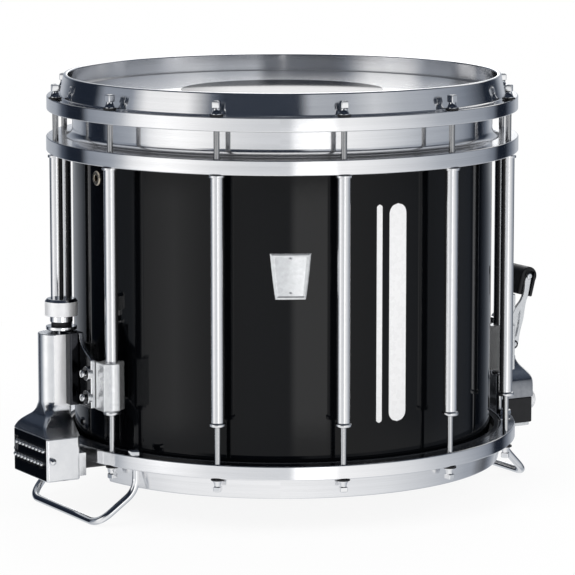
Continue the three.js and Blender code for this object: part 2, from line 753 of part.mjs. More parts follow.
// Throw-off casting: the same plate and flare, with two ears for the lever on top
function throwOffHousing() {
  const inner = plate - gap;
  const rise = throwTop - throwFoot;
  const reach = blockDepth - throwColumnDepth;
  const spread = throwHalfWidth - throwColumnHalfWidth;
  const flareShares = [[0, 1, 1], [0.4, 1, 0.97], [0.54, 0.92, 0.75], [0.66, 0.66, 0.42],
    [0.78, 0.28, 0.18], [0.92, 0.02, 0], [1, 0, 0]];
  const flare = flareShares.map(([up, out, side]) => [
    throwFoot + up * rise, inner, throwColumnDepth + out * reach,
    throwColumnHalfWidth + side * spread,
  ]);
  const [pivotX, pivotZ] = leverPivot;
  const ears = join(
    box([pivotX - 2 * earRadius, pivotX + earRadius / 2], [-earHalfWidth, earHalfWidth],
      [throwTop - wall, pivotZ]),
    barAlongY(earRadius, [-earHalfWidth, earHalfWidth], pivotX, pivotZ, tubeSides),
  );
  const body = join(loft(flare, castCorner), ears, mountingPlate(plateShoulder));
  const slot = box([pivotX - 3 * earRadius, blockDepth + overrun], [-earSlot, earSlot],
    [throwFoot + 4 * wall, pivotZ + 2 * earRadius]);
  const hollow = box([blockStart + wall, blockDepth - 2 * wall],
    [wall - throwHalfWidth, throwHalfWidth - wall], [throwFoot - overrun, throwFoot + 4 * wall]);
  const shaft = box([pivotX - 3 * earRadius, blockDepth - 2 * wall], [-earSlot, earSlot],
    [throwFoot, throwFoot + 5 * wall]);
  const pivotHole = barAlongY(pivotRadius + gap, [-2 * earHalfWidth, 2 * earHalfWidth],
    pivotX, pivotZ, rodSides);
  return cut(body, slot, hollow, shaft, pivotHole);
}
piece('throw_off_housing', throwOffHousing(), finish.castChrome, throwOff);

// The lever's side plate: an open triangle between the pivot, the link pin and the grip
function leverOutline() {
  const [pivotX, pivotZ] = leverPivot;
  const [gripX, gripZ] = leverGripPin;
  const arm = gripZ - pivotZ;
  const at = (outShare, upShare) => [pivotX + outShare * arm, pivotZ + upShare * arm];
  const outerShares = [[0.113, 0.181], [0.166, 0.36], [0.204, 0.584], [0.25, 0.72], [0.282, 0.878]];
  const innerShares = [[0.191, 0.934], [0.177, 0.787], [0.127, 0.654], [0.049, 0.564],
    [-0.042, 0.429], [-0.1, 0.36], [-0.1, 0.18]];
  const slotShares = [[0.082, 0.455], [0.113, 0.473], [0.082, 0.25], [0.05, 0.125], [0.024, 0.123]];
  const tip = leverHub / 2;
  const shape = new THREE.Shape();
  shape.moveTo(pivotX + leverHub, pivotZ);
  outerShares.forEach((share) => shape.lineTo(...at(...share)));
  shape.lineTo(gripX + tip, gripZ);
  shape.lineTo(gripX, gripZ + tip);
  shape.lineTo(gripX - tip, gripZ);
  innerShares.forEach((share) => shape.lineTo(...at(...share)));
  shape.absarc(pivotX, pivotZ, leverHub, Math.PI, 2 * Math.PI, false);
  const slot = new THREE.Path();
  slot.setFromPoints(slotShares.map((share) => new THREE.Vector2(...at(...share))));
  slot.closePath();
  shape.holes.push(slot);
  return shape;
}

// Throw-off lever: two side plates on a cross piece, with stub pins for the pivot and the link
function throwOffLever() {
  const inner = earHalfWidth + gap;
  const outer = inner + leverPlate;
  const shape = leverOutline();
  const plates = [[-outer, -inner], [inner, outer]].map((span) => sidePlate(shape, span));
  const [pivotX, pivotZ] = leverPivot;
  const [pinX, pinZ] = leverPin;
  const arm = leverGripPin[1] - pivotZ;
  const [bridgeInShare, bridgeOutShare, bridgeLowShare, bridgeTopShare] = [-0.06, 0.03, 0.42, 0.75];
  const bridge = box([pivotX + bridgeInShare * arm, pivotX + bridgeOutShare * arm],
    [gap - outer, outer - gap], [pivotZ + bridgeLowShare * arm, pivotZ + bridgeTopShare * arm]);
  const stubs = [-1, 1].flatMap((side) => {
    const span = (low, high) => [side * low, side * high].sort((a, b) => a - b);
    return [
      barAlongY(pivotRadius, span(earSlot, inner + leverPlate / 2), pivotX, pivotZ, rodSides),
      barAlongY(pivotHeadRadius, span(outer - leverPlate / 2, outer + pivotHead), pivotX, pivotZ, tubeSides),
      barAlongY(pivotRadius, span(linkHalfWidth + 2 * gap, outer + pivotHead / 2),
        pinX, pinZ, rodSides),
    ];
  });
  return join(...plates, bridge, ...stubs);
}
piece('throw_off_lever', throwOffLever(), finish.polished, throwOff);

// Lever grip: a rounded block that caps both side plates
function leverGrip() {
  const [gripX, gripZ] = leverGripPin;
  const [pivotX, pivotZ] = leverPivot;
  const lean = Math.atan2(gripX - pivotX, gripZ - pivotZ);
  const half = gripDepth / 2;
  const outer = earHalfWidth + leverPlate + 2 * gap;
  const shape = new THREE.Shape();
  shape.moveTo(-half, half - gripHeight);
  shape.lineTo(half, half - gripHeight);
  shape.absarc(0, 0, half, 0, Math.PI, false);
  const block = sidePlate(shape, [-outer, outer]);
  const slots = [-1, 1].map((side) => {
    const span = [side * earHalfWidth, side * (outer + overrun)].sort((a, b) => a - b);
    return box([-leverHub, leverHub], span, [-gripHeight, leverHub]);
  });
  return cut(block, ...slots).rotateY(lean).translate(gripX, 0, gripZ);
}
piece('lever_grip', leverGrip(), finish.blackPlastic, throwOff);

// Link between the lever's pin and the carriage's tongue
const linkFoot = [
  leverPin[0] - linkPinInset, leverPin[1] - Math.sqrt(linkLength ** 2 - linkPinInset ** 2),
];

function throwOffLink() {
  const lean = Math.atan2(linkPinInset, leverPin[1] - linkFoot[1]);
  const shape = new THREE.Shape();
  shape.absarc(0, 0, linkRadius, Math.PI, 2 * Math.PI, false);
  shape.absarc(0, linkLength, linkRadius, 0, Math.PI, false);
  for (const end of [0, linkLength]) {
    const eye = new THREE.Path();
    eye.absarc(0, end, pivotRadius + gap, 0, 2 * Math.PI, true);
    shape.holes.push(eye);
  }
  const link = sidePlate(shape, [-linkHalfWidth, linkHalfWidth]);
  return link.rotateY(lean).translate(linkFoot[0], 0, linkFoot[1]);
}
piece('throw_off_link', throwOffLink(), finish.castChrome, throwOff);

// Carriage: the block that drops with the lever and clamps the strands over its base plate. Its slot
// leaves room under the strands for the height adjuster to let them down
function throwOffCarriage() {
  const top = throwFoot - gap;
  const block = loft([[-carriageDrop, blockStart, carriageDepth, throwHalfWidth],
    [top, blockStart, carriageDepth, throwHalfWidth]], castCorner);
  const base = box([blockStart, carriageDepth - castCorner],
    [castCorner - throwHalfWidth, throwHalfWidth - castCorner],
    [-carriageDrop - basePlate, gap - carriageDrop]);
  const slotTop = strandBarHeight / 2 + 2 * gap;
  const slotSide = strandBarHalf + gap;
  const strandSlot = box([blockStart - overrun, blockStart + wall + 2 * strandBarLength],
    [-slotSide, slotSide], [gap - carriageDrop, slotTop]);
  const [pinX, pinZ] = linkFoot;
  const tongueSide = earSlot - 2 * gap;
  const tongue = box([pinX - linkRadius, pinX + linkRadius], [-tongueSide, tongueSide],
    [top - wall, pinZ + linkRadius]);
  const fork = box([pinX - 2 * linkRadius, pinX + 2 * linkRadius],
    [-linkHalfWidth - gap, linkHalfWidth + gap], [pinZ - 3 * linkRadius, pinZ + 2 * linkRadius]);
  const pin = barAlongY(pivotRadius, [-tongueSide + gap, tongueSide - gap], pinX, pinZ, rodSides);
  const stemHole = barAlongX(clampKnobNeckRadius / 2 + gap,
    [carriageDepth - 4 * wall, carriageDepth + overrun], 0, clampKnobZ, tubeSides);
  return join(cut(join(block, base, tongue), strandSlot, fork, stemHole), pin);
}
piece('throw_off_carriage', throwOffCarriage(), finish.blackPlastic, throwOff);

// Strand clamp knob: a round knob on the face of the carriage
function strandClampKnob() {
  const seat = carriageDepth + gap;
  return turned([
    [0, carriageDepth - 3 * wall], [clampKnobNeckRadius / 2, carriageDepth - 3 * wall],
    [clampKnobNeckRadius / 2, seat], [clampKnobNeckRadius, seat],
    [clampKnobNeckRadius, seat + clampKnobNeck], [clampKnobRadius, seat + clampKnobNeck],
    [clampKnobRadius, seat + clampKnobReach - knobBevel],
    [clampKnobRadius - knobBevel, seat + clampKnobReach], [0, seat + clampKnobReach],
  ], knobSides).rotateY(Math.PI / 2).translate(0, 0, clampKnobZ);
}
piece('strand_clamp_knob', strandClampKnob(), finish.chrome, throwOff);

export default drum;
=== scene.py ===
"""Marching snare drum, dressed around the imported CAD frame.

Sizes are in millimetres, and MM turns them into Blender's metres. Z is up, the floor is at 0, and an
azimuth is counted in degrees from the front of the drum, towards its right-hand side.
"""
import math

import bmesh
import bpy
from mathutils import Matrix, Vector


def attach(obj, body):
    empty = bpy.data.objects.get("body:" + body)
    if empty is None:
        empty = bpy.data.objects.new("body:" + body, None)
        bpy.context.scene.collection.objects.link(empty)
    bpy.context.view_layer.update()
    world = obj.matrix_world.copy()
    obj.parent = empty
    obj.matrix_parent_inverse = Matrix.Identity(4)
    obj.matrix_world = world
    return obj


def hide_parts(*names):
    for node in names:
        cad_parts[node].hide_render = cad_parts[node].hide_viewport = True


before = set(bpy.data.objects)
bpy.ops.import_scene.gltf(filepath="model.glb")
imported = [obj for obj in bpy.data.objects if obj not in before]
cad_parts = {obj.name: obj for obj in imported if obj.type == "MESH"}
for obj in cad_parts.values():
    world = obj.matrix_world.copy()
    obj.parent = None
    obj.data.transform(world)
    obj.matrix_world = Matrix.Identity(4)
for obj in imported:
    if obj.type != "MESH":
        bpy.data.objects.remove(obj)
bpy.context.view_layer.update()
scene = bpy.context.scene

# Shell
# The shell is a tube of thin maple plies. It is turned true, its lower edge is rounded to carry the
# snare head, and the outside is sprayed with black lacquer that is rubbed to a deep gloss.

MM = 0.001
ROUND = 256
SHELL_OUTER = 176.2
SHELL_INNER = 169.8
SHELL_LOW = 44.5
SHELL_HIGH = 297.3
SHELL_EDGE = 0.3
BEARING_RISE = 4
BEARING_WIDTH = 2.4
BEARING_TIP = 1.2
BEARING_ROUND = 1.4
VENT_ANGLE = -58.5
VENT_HEIGHT = 276.5
VENT_HOLE = 4.2
OVERRUN = 5


def rounded(corners, steps=5):
    """Corner points (across, up, radius) as a closed outline with its corners rounded."""
    outline = []
    for at, (across, up, radius) in enumerate(corners):
        corner = Vector((across, up))
        if radius == 0:
            outline.append(corner)
            continue
        back = (Vector(corners[at - 1][:2]) - corner).normalized()
        ahead = (Vector(corners[(at + 1) % len(corners)][:2]) - corner).normalized()
        half = back.angle(ahead) / 2
        centre = corner + (back + ahead).normalized() * radius / math.sin(half)
        start = corner + back * radius / math.tan(half) - centre
        end = corner + ahead * radius / math.tan(half) - centre
        sweep = start.angle(end)
        for step in range(steps + 1):
            share = step / steps
            turn = start * math.sin((1 - share) * sweep) + end * math.sin(share * sweep)
            outline.append(centre + turn / math.sin(sweep))
    return [tuple(point) for point in outline]


def made(name, sheet):
    """A new piece from the faces of a bmesh."""
    bmesh.ops.recalc_face_normals(sheet, faces=sheet.faces)
    mesh = bpy.data.meshes.new(name)
    sheet.to_mesh(mesh)
    sheet.free()
    piece = bpy.data.objects.new(name, mesh)
    scene.collection.objects.link(piece)
    return piece


def skinned(name, rings):
    """A solid skinned over rings of points, with its two ends closed."""
    sheet = bmesh.new()
    rows = [[sheet.verts.new(Vector(point) * MM) for point in ring] for ring in rings]
    for low, high in zip(rows, rows[1:]):
        for at in range(len(low)):
            ahead = (at + 1) % len(low)
            sheet.faces.new((low[at], low[ahead], high[ahead], high[at]))
    sheet.faces.new(rows[0])
    sheet.faces.new(rows[-1])
    return made(name, sheet)


def turned(name, outline, sides=ROUND):
    """A closed outline of (radius, height) turned about Z. Points on the axis close its ends."""
    sheet = bmesh.new()
    rings = []
    for radius, height in outline:
        count = sides if radius > 0 else 1
        rings.append([sheet.verts.new((
            radius * math.sin(turn * math.tau / sides) * MM,
            -radius * math.cos(turn * math.tau / sides) * MM,
            height * MM,
        )) for turn in range(count)])
    for low, high in zip(rings, rings[1:] + rings[:1]):
        if len(low) == len(high) == 1:
            continue
        for at in range(sides):
            ahead = (at + 1) % sides
            corners = [low[at % len(low)], low[ahead % len(low)],
                       high[ahead % len(high)], high[at % len(high)]]
            sheet.faces.new(list(dict.fromkeys(corners)))
    return made(name, sheet)


def settled(piece):
    """The piece with its modifiers worked into its mesh."""
    graph = bpy.context.evaluated_depsgraph_get()
    mesh = bpy.data.meshes.new_from_object(piece.evaluated_get(graph))
    piece.modifiers.clear()
    piece.data = mesh
    return piece


def combined(piece, others, operation):
    """The piece with the others welded on (UNION) or cut away (DIFFERENCE)."""
    for other in others:
        step = piece.modifiers.new(operation, "BOOLEAN")
        step.operation = operation
        step.object = other
    settled(piece)
    for other in others:
        bpy.data.objects.remove(other)
    return piece


def smooth(piece, angle=34):
    """Smooth shading with crisp edges, and flat faces kept flat beside their rounded edges."""
    piece.data.shade_smooth()
    piece.data.set_sharp_from_angle(angle=math.radians(angle))
    piece.modifiers.new("normals", "WEIGHTED_NORMAL").keep_sharp = True
    return settled(piece)


def moved(piece, *steps):
    """The piece with its mesh turned and shifted by the steps, the first one first."""
    for step in steps:
        piece.data.transform(step)
    return piece


def shift(x, y, z):
    return Matrix.Translation(Vector((x, y, z)) * MM)


def spin(degrees, axis="Z"):
    return Matrix.Rotation(math.radians(degrees), 4, axis)


def peg(radius, low, high, *steps, sides=48):
    """A round cutter from low to high along Z, then moved by the steps."""
    return moved(turned("peg", [(0, low), (radius, low), (radius, high), (0, high)], sides), *steps)


def node(tree, kind, inputs=None, **settings):
    """A shader node with its settings, its values and its links."""
    new = tree.nodes.new("ShaderNode" + kind)
    for name, value in settings.items():
        setattr(new, name, value)
    for socket, value in (inputs or {}).items():
        if isinstance(value, bpy.types.NodeSocket):
            tree.links.new(value, new.inputs[socket])
        else:
            new.inputs[socket].default_value = value
    return new.outputs


def maths(tree, operation, *values):
    """A sum on shader values."""
    return node(tree, "Math", dict(enumerate(values)), operation=operation)[0]


def finish(name, **sockets):
    """A new material: its node tree, and its shader with plain values set on the sockets."""
    material = bpy.data.materials.new(name)
    material.use_nodes = True
    tree = material.node_tree
    shader = tree.nodes["Principled BSDF"]
    for socket, value in sockets.items():
        shader.inputs[socket.replace("_", " ").title().replace("Ior", "IOR")].default_value = value
    return material, tree, shader


def noise(tree, place, scale, detail=2.0, roughness=0.5):
    return node(tree, "TexNoise", {"Vector": place, "Scale": scale, "Detail": detail,
                                   "Roughness": roughness})[0]


def between(tree, share, low, high):
    """A share from 0 to 1 spread from low to high."""
    return node(tree, "MapRange", {"Value": share, 3: low, 4: high})[0]


def coloured(tree, shader, share, dark, light, reach=(0.0, 1.0)):
    """The shader's colour, from dark to light as the share crosses its reach."""
    colour = node(tree, "ValToRGB", {0: share})[0]
    for stop, position, tone in zip(colour.node.color_ramp.elements, reach, (dark, light)):
        stop.position = position
        stop.color = (*tone, 1)
    tree.links.new(colour, shader.inputs["Base Color"])


def bumped(tree, shader, height, distance, strength=1.0):
    """The shader's surface raised and lowered by a height from 0 to 1."""
    tree.links.new(node(tree, "Bump", {"Height": height, "Distance": distance * MM,
                                       "Strength": strength})[0], shader.inputs["Normal"])


def dressed(piece, material, slot, body, *nodes):
    """The piece with its finish, riding on its body and standing for its CAD nodes."""
    piece.data.materials.clear()
    piece.data.materials.append(material)
    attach(piece, body)
    if nodes:
        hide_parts(*nodes)
    return piece


def black_lacquer():
    material, tree, shader = finish("black_lacquer", specular_ior_level=0.2, roughness=0.03)
    place = node(tree, "TexCoord")[3]
    coloured(tree, shader, noise(tree, place, 9, 3), (0.0010, 0.0012, 0.0018), (0.0022, 0.0025, 0.0032))
    tree.links.new(between(tree, noise(tree, place, 60, 4), 0.02, 0.05), shader.inputs["Roughness"])
    bumped(tree, shader, noise(tree, place, 160, 1), 0.02, 0.12)
    return material


LACQUER = black_lacquer()
shell = turned("drum_shell", rounded([
    (SHELL_INNER, SHELL_LOW + BEARING_RISE, 0), (SHELL_OUTER - BEARING_WIDTH, SHELL_LOW, BEARING_TIP),
    (SHELL_OUTER, SHELL_LOW, BEARING_ROUND), (SHELL_OUTER, SHELL_HIGH, SHELL_EDGE),
    (SHELL_INNER, SHELL_HIGH, SHELL_EDGE)]))
combined(shell, [peg(VENT_HOLE, SHELL_INNER - OVERRUN, SHELL_OUTER + OVERRUN, spin(90, "Y"),
                     shift(0, 0, VENT_HEIGHT), spin(VENT_ANGLE - 90))], "DIFFERENCE")
dressed(smooth(shell), LACQUER, "lacquer", "drum", "shell")

# Vent eyelet
# A small turned brass eyelet lines the hole that lets air out of the drum. It is pressed in from the
# outside, and its domed flange rests on the lacquer.

EYELET_BORE = 2.9
EYELET_OUTER = 3.8
EYELET_FLANGE = 6.4
EYELET_SEAT = SHELL_OUTER + 0.2
EYELET_FACE = SHELL_OUTER + 1.3
EYELET_BEVEL = 1.2


def aged_brass():
    material, tree, shader = finish("aged_brass", metallic=1.0)
    place = node(tree, "TexCoord")[3]
    coloured(tree, shader, noise(tree, place, 220, 4), (0.38, 0.32, 0.24), (0.70, 0.64, 0.54))
    tree.links.new(between(tree, noise(tree, place, 400), 0.18, 0.4), shader.inputs["Roughness"])
    return material


eyelet = turned("vent_eyelet_trim", rounded([
    (EYELET_BORE, SHELL_INNER, 0), (EYELET_OUTER, SHELL_INNER, 0.3), (EYELET_OUTER, EYELET_SEAT, 0),
    (EYELET_FLANGE, EYELET_SEAT, 0.2), (EYELET_FLANGE - EYELET_BEVEL, EYELET_FACE, 0.6),
    (EYELET_BORE, EYELET_FACE, 0.5)], 4), 64)
moved(smooth(eyelet), spin(90, "Y"), shift(0, 0, VENT_HEIGHT), spin(VENT_ANGLE - 90))
dressed(eyelet, aged_brass(), "vent_brass", "drum", "vent_eyelet")

# Suspension ring
# A turned aluminium ring sits on the shell's top edge. The tubes hang from its flange, its tall sleeve
# carries the batter head, and both are brushed round and left bright.

ROD_CIRCLE = 193.5
ROD_HOLE = 2.8
HOLE_OVERRUN = 2
LUGS = [15 + 30 * turn for turn in range(12)]
RING_LOW = 291.1
RING_TOP = 303.3
RING_OUTER = 198.0
RING_SEAT = RING_LOW + 6.5
RING_GAP = 0.3
RING_EDGE = 0.9
SLEEVE_TOP = 339.65
SLEEVE_CREST = 2.4
SLEEVE_SHOULDER = 1.6
SLEEVE_INSIDE = 3.5
COVE = 6.6
COVE_STEPS = 8


def around(azimuth, radius):
    """The step that carries a piece from the axis out to its place on a circle."""
    return spin(azimuth) @ shift(0, -radius, 0)


def rod_holes(low, high):
    return [peg(ROD_HOLE, low - HOLE_OVERRUN, high + HOLE_OVERRUN, around(azimuth, ROD_CIRCLE))
            for azimuth in LUGS]


def gathered(pieces):
    """Separate pieces as one mesh."""
    sheet = bmesh.new()
    for piece in pieces:
        sheet.from_mesh(piece.data)
        bpy.data.objects.remove(piece)
    return made("gathered", sheet)


def turning_marks(tree):
    """A grain that runs round the Z axis, as a lathe or a brush leaves it, fine and broad, 0 to 1."""
    place = node(tree, "SeparateXYZ", {0: node(tree, "TexCoord")[3]})
    across = maths(tree, "MULTIPLY_ADD", place[1], place[1], maths(tree, "MULTIPLY", place[0], place[0]))
    radius = maths(tree, "SQRT", across)
    slow = maths(tree, "MULTIPLY", maths(tree, "ARCTAN2", place[0], place[1]), 0.0016)
    line = node(tree, "CombineXYZ", {0: radius, 1: slow, 2: place[2]})[0]
    return noise(tree, line, 2200, 3, 0.65), noise(tree, line, 260, 2, 0.5)


def brushed_metal(name, tone, rough, spread, streak):
    """Bare metal with its brush lines round the axis, which blur reflections up and down."""
    material, tree, shader = finish(name, metallic=1.0, anisotropic=spread, anisotropic_rotation=0.25)
    grain, band = turning_marks(tree)
    shade = maths(tree, "MULTIPLY", maths(tree, "ADD", grain, band), 0.5)
    dark, light = tone * (1 - streak), tone * (1 + streak * 0.4)
    coloured(tree, shader, shade, (dark, dark, dark * 1.01), (light, light, light * 1.01), (0.3, 0.7))
    tree.links.new(between(tree, grain, rough * 0.75, rough * 1.25), shader.inputs["Roughness"])
    tree.links.new(node(tree, "Tangent", direction_type="RADIAL", axis="Z")[0], shader.inputs["Tangent"])
    bumped(tree, shader, grain, 0.02, 0.25)
    return material


BRUSHED = brushed_metal("brushed_aluminium", 0.9, 0.13, 0.9, 0.08)
cove = [(SHELL_OUTER + COVE - COVE * math.sin(turn), RING_TOP + COVE - COVE * math.cos(turn), 0)
        for turn in (step * math.pi / 2 / COVE_STEPS for step in range(COVE_STEPS + 1))]
ring = turned("suspension_ring_body", rounded([
    (SHELL_OUTER + RING_GAP, RING_LOW, 0.2), (RING_OUTER, RING_LOW, RING_EDGE),
    (RING_OUTER, RING_TOP, RING_EDGE), *cove,
    (SHELL_OUTER, SLEEVE_TOP - SLEEVE_SHOULDER, 0.8), (SHELL_OUTER - SLEEVE_CREST, SLEEVE_TOP, 1.2),
    (SHELL_INNER, SLEEVE_TOP - SLEEVE_INSIDE, 0.3), (SHELL_INNER, RING_SEAT, 0),
    (SHELL_OUTER + RING_GAP, RING_SEAT, 0)]))
combined(ring, [gathered(rod_holes(RING_LOW, RING_TOP))], "DIFFERENCE")
dressed(smooth(ring), BRUSHED, "brushed_metal", "drum", "suspension_ring")

# Drumheads
# Each head is a glossy woven film, drawn down over the bearing edge by a flesh hoop that it is bonded
# to. The batter head has a darker round patch of a second film bonded to its middle.

BATTER_FACE = 325.45
SNARE_FACE = 58.7
FLESH_INNER = 179.8
FLESH_OUTER = 185.2
FLESH_LOW = 0.3
FLESH_HIGH = 8.3
FLESH_EDGE = 0.5
FILM = 0.6
FILM_LOW = 14.5
DOT_RADIUS = 85
DOT = 0.2


def woven_film(name, dark, light, rough, coat=1.0, gloss=0.5):
    """A film of fine threads under a clear coat."""
    material, tree, shader = finish(name, coat_weight=coat, coat_roughness=0.05, coat_ior=1.5 + 0.4 * coat,
                                    specular_ior_level=gloss)
    place = node(tree, "TexCoord")[3]
    weave = [node(tree, "TexWave", {"Vector": place, "Scale": 330.0, "Distortion": 0.4},
                  bands_direction=side)[1] for side in "XY"]
    threads = maths(tree, "MAXIMUM", *weave)
    shade = maths(tree, "MULTIPLY_ADD", threads, 0.35, noise(tree, place, 14, 4))
    coloured(tree, shader, shade, dark, light, (0.3, 0.95))
    tree.links.new(between(tree, threads, rough, rough * 1.4), shader.inputs["Roughness"])
    bumped(tree, shader, threads, 0.03, 0.15)
    return material


def drumhead(name, face, way):
    """A film and its flesh hoop, from the height of the hoop's face towards the film."""
    under = [(0, FILM_LOW), (172.0, FILM_LOW), (174.6, 14.3), (176.5, 13.0), (178.9, 8.6), (FLESH_INNER, 7.6)]
    flesh = [(FLESH_INNER, FLESH_LOW + FLESH_EDGE), (FLESH_INNER + FLESH_EDGE, FLESH_LOW),
             (FLESH_OUTER - FLESH_EDGE, FLESH_LOW), (FLESH_OUTER, FLESH_LOW + FLESH_EDGE),
             (FLESH_OUTER, FLESH_HIGH - FILM), (FLESH_OUTER - FILM, FLESH_HIGH)]
    over = [(179.5, FLESH_HIGH), (177.2, 13.1), (174.9, 14.8), (172.0, FILM_LOW + FILM), (0, FILM_LOW + FILM)]
    return turned(name, [(radius, face + way * up) for radius, up in under + flesh + over])


def second_finish(piece, material, chosen):
    """Another finish on the chosen faces of a piece."""
    piece.data.materials.append(material)
    for face, other in zip(piece.data.polygons, chosen):
        if other:
            face.material_index = len(piece.data.materials) - 1


FILM_GREY = woven_film("head_film_grey", (0.30, 0.31, 0.33), (0.42, 0.43, 0.45), 0.22)
FILM_DARK = woven_film("head_film_dark", (0.012, 0.013, 0.016), (0.03, 0.032, 0.036), 0.18, 0.45, 0.0)
FILM_CLEAR = woven_film("head_film_snare", (0.50, 0.50, 0.50), (0.62, 0.62, 0.61), 0.3)
batter_head = drumhead("batter_head_film", BATTER_FACE, 1)
dressed(smooth(batter_head, 50), FILM_GREY, "head_film", "drum", "batter_head")
dot_low = BATTER_FACE + FILM_LOW + FILM
dot = turned("batter_head_dot", [(0, dot_low), (DOT_RADIUS, dot_low), (DOT_RADIUS - DOT, dot_low + DOT),
                                 (0, dot_low + DOT)])
dressed(smooth(dot, 50), FILM_DARK, "head_film", "drum")
snare_head = drumhead("snare_head_film", SNARE_FACE, -1)
dressed(smooth(snare_head, 50), FILM_CLEAR, "head_film", "drum", "snare_head")
second_finish(snare_head, FILM_DARK, [math.hypot(*face.center[:2]) > (FLESH_INNER - 0.1) * MM
                                      for face in snare_head.data.polygons])

# Hoops
# Both hoops are turned from cast aluminium: a thick flange for the rods, and a tapered collar that
# ends in a rounded rim. The snare hoop's collar is milled away where the strands pass.

HOOP_INNER = FLESH_OUTER + 0.3
HOOP_OUTER = 197.5
HOOP_FLANGE = 11.5
HOOP_EDGE = 0.9
HOOP_STEP = 8.6
COLLAR = 186.7
COLLAR_FILLET = 1.0
RIM_OUTER = 183.2
RIM_INNER = 179.7
RIM = 29.3
ADJUSTER = -60
THROW_OFF = 120
GATE_INNER = 170
GATE_OUTER = 188.2
GATE_LOW = 20
GATE_HALF = 32
GUARD_LEG = 191.5
GUARD_LEG_ANGLE = 22.3
LEG_HOLE = 3.4
LEG_HOLE_LOW = 42
LEG_HOLE_HIGH = 62


def hoop(name, face, way):
    return turned(name, rounded([
        (HOOP_INNER, face, 0.3), (HOOP_OUTER, face, HOOP_EDGE),
        (HOOP_OUTER, face + way * HOOP_FLANGE, HOOP_EDGE), (COLLAR, face + way * HOOP_FLANGE, COLLAR_FILLET),
        (RIM_OUTER, face + way * RIM, 1.4), (RIM_INNER, face + way * RIM, 1.2),
        (RIM_INNER, face + way * HOOP_STEP, 0), (HOOP_INNER, face + way * HOOP_STEP, 0)]))


def block(x, y, z, *steps):
    """A square cutter between pairs of sizes along X, Y and Z."""
    ring = [(x[0], y[0]), (x[1], y[0]), (x[1], y[1]), (x[0], y[1])]
    return moved(skinned("block", [[(*corner, height) for corner in ring] for height in z]), *steps)


batter_hoop = hoop("batter_hoop_body", BATTER_FACE, 1)
combined(batter_hoop, [gathered(rod_holes(BATTER_FACE, BATTER_FACE + HOOP_FLANGE))], "DIFFERENCE")
dressed(smooth(batter_hoop), BRUSHED, "brushed_metal", "drum", "batter_hoop")

snare_hoop = hoop("snare_hoop_body", SNARE_FACE, -1)
gates = [block((GATE_INNER, GATE_OUTER), (-GATE_HALF, GATE_HALF), (GATE_LOW, SNARE_FACE - HOOP_FLANGE),
               spin(side - 90)) for side in (ADJUSTER, THROW_OFF)]
leg_holes = [peg(LEG_HOLE, LEG_HOLE_LOW, LEG_HOLE_HIGH, around(side + lean, GUARD_LEG))
             for side in (ADJUSTER, THROW_OFF) for lean in (-GUARD_LEG_ANGLE, GUARD_LEG_ANGLE)]
combined(snare_hoop, [gathered(gates), gathered(leg_holes + rod_holes(SNARE_FACE - HOOP_FLANGE, SNARE_FACE))],
         "DIFFERENCE")
dressed(smooth(snare_hoop), BRUSHED, "brushed_metal", "drum", "snare_hoop")

# Lug tubes
# Twelve aluminium tubes hang under the ring and keep it off the hoop. They are drawn, polished by
# spinning, and each stands on a turned collar and under a thin washer.

TUBE_LOW = 88.9
TUBE_HIGH = 290.8
TUBE = 5.4
TUBE_BORE = 2.8
TUBE_COLLAR = 6.8
TUBE_COLLAR_HEIGHT = 3.6
TUBE_WASHER = 6.7
TUBE_WASHER_HEIGHT = 2
TUBE_SIDES = 64

POLISHED = brushed_metal("polished_aluminium", 0.82, 0.16, 0.8, 0.03)
tube = turned("lug_tube_body", rounded([
    (TUBE_BORE, TUBE_LOW, 0.3), (TUBE_COLLAR, TUBE_LOW, 1.3),
    (TUBE_COLLAR, TUBE_LOW + TUBE_COLLAR_HEIGHT, 1.3), (TUBE, TUBE_LOW + TUBE_COLLAR_HEIGHT, 0),
    (TUBE, TUBE_HIGH - TUBE_WASHER_HEIGHT, 0), (TUBE_WASHER, TUBE_HIGH - TUBE_WASHER_HEIGHT, 0.3),
    (TUBE_WASHER, TUBE_HIGH, 0.3), (TUBE_BORE, TUBE_HIGH, 0.3)], 3), TUBE_SIDES)
smooth(tube)
tube_mesh = tube.data
bpy.data.objects.remove(tube)
tube_mesh.materials.append(POLISHED)


def set_round(name, mesh, number, azimuth):
    """One of twelve like pieces, set on the rod circle."""
    piece = bpy.data.objects.new(f"{name}_{number:02d}", mesh)
    scene.collection.objects.link(piece)
    piece.matrix_world = around(azimuth, ROD_CIRCLE)
    return piece


for number, azimuth in enumerate(LUGS, 1):
    tube = set_round("tube", tube_mesh, number, azimuth)
    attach(tube, "drum")
    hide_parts(f"lug_tube_{number:02d}")

# Tension rods
# Chromed steel rods run through the flanges into the tubes. Each has a square key head on a bell-shaped
# neck, a loose black washer under it whose black is partly painted shadow of the head, and a rolled thread
# on the part that the tube takes.

ROD = 2.5
ROD_POINT = 0.5
WASHER = 5.5
WASHER_LOW = 0.3
WASHER_HIGH = 1.7
WASHER_EDGE = 0.2
KEY_SQUARE = 6.4
THREAD_PITCH = 1.1
THREAD_DEPTH = 0.12
KEY_FOOT = [(6.0, 1.3, 1.6), (6.5, 0.5, 1.2), (7.1, 0.05, 0.8)]
KEY_CROWN = [(1.2, 0.05, 0.8), (0.7, 0.3, 1.0), (0.35, 0.8, 1.2), (0.3, 1.5, 1.5), (0, 1.9, 1.2)]
TOP_SEAT = BATTER_FACE + HOOP_FLANGE
TOP_HEAD = 12.7
TOP_SHANK = 259.1
TOP_THREADS = (260.1, 286.6)
LOW_SEAT = SNARE_FACE - HOOP_FLANGE
LOW_HEAD = 11.3
LOW_SHANK = 120.9
LOW_THREADS = (119.9, 60.6)
BELL = ((4.2, 1.7), (4.2, 1.85), (4.15, 2.3), (3.8, 3.0), (3.35, 3.9), (3.0, 4.9), (2.75, 5.9), (2.7, 7.6))


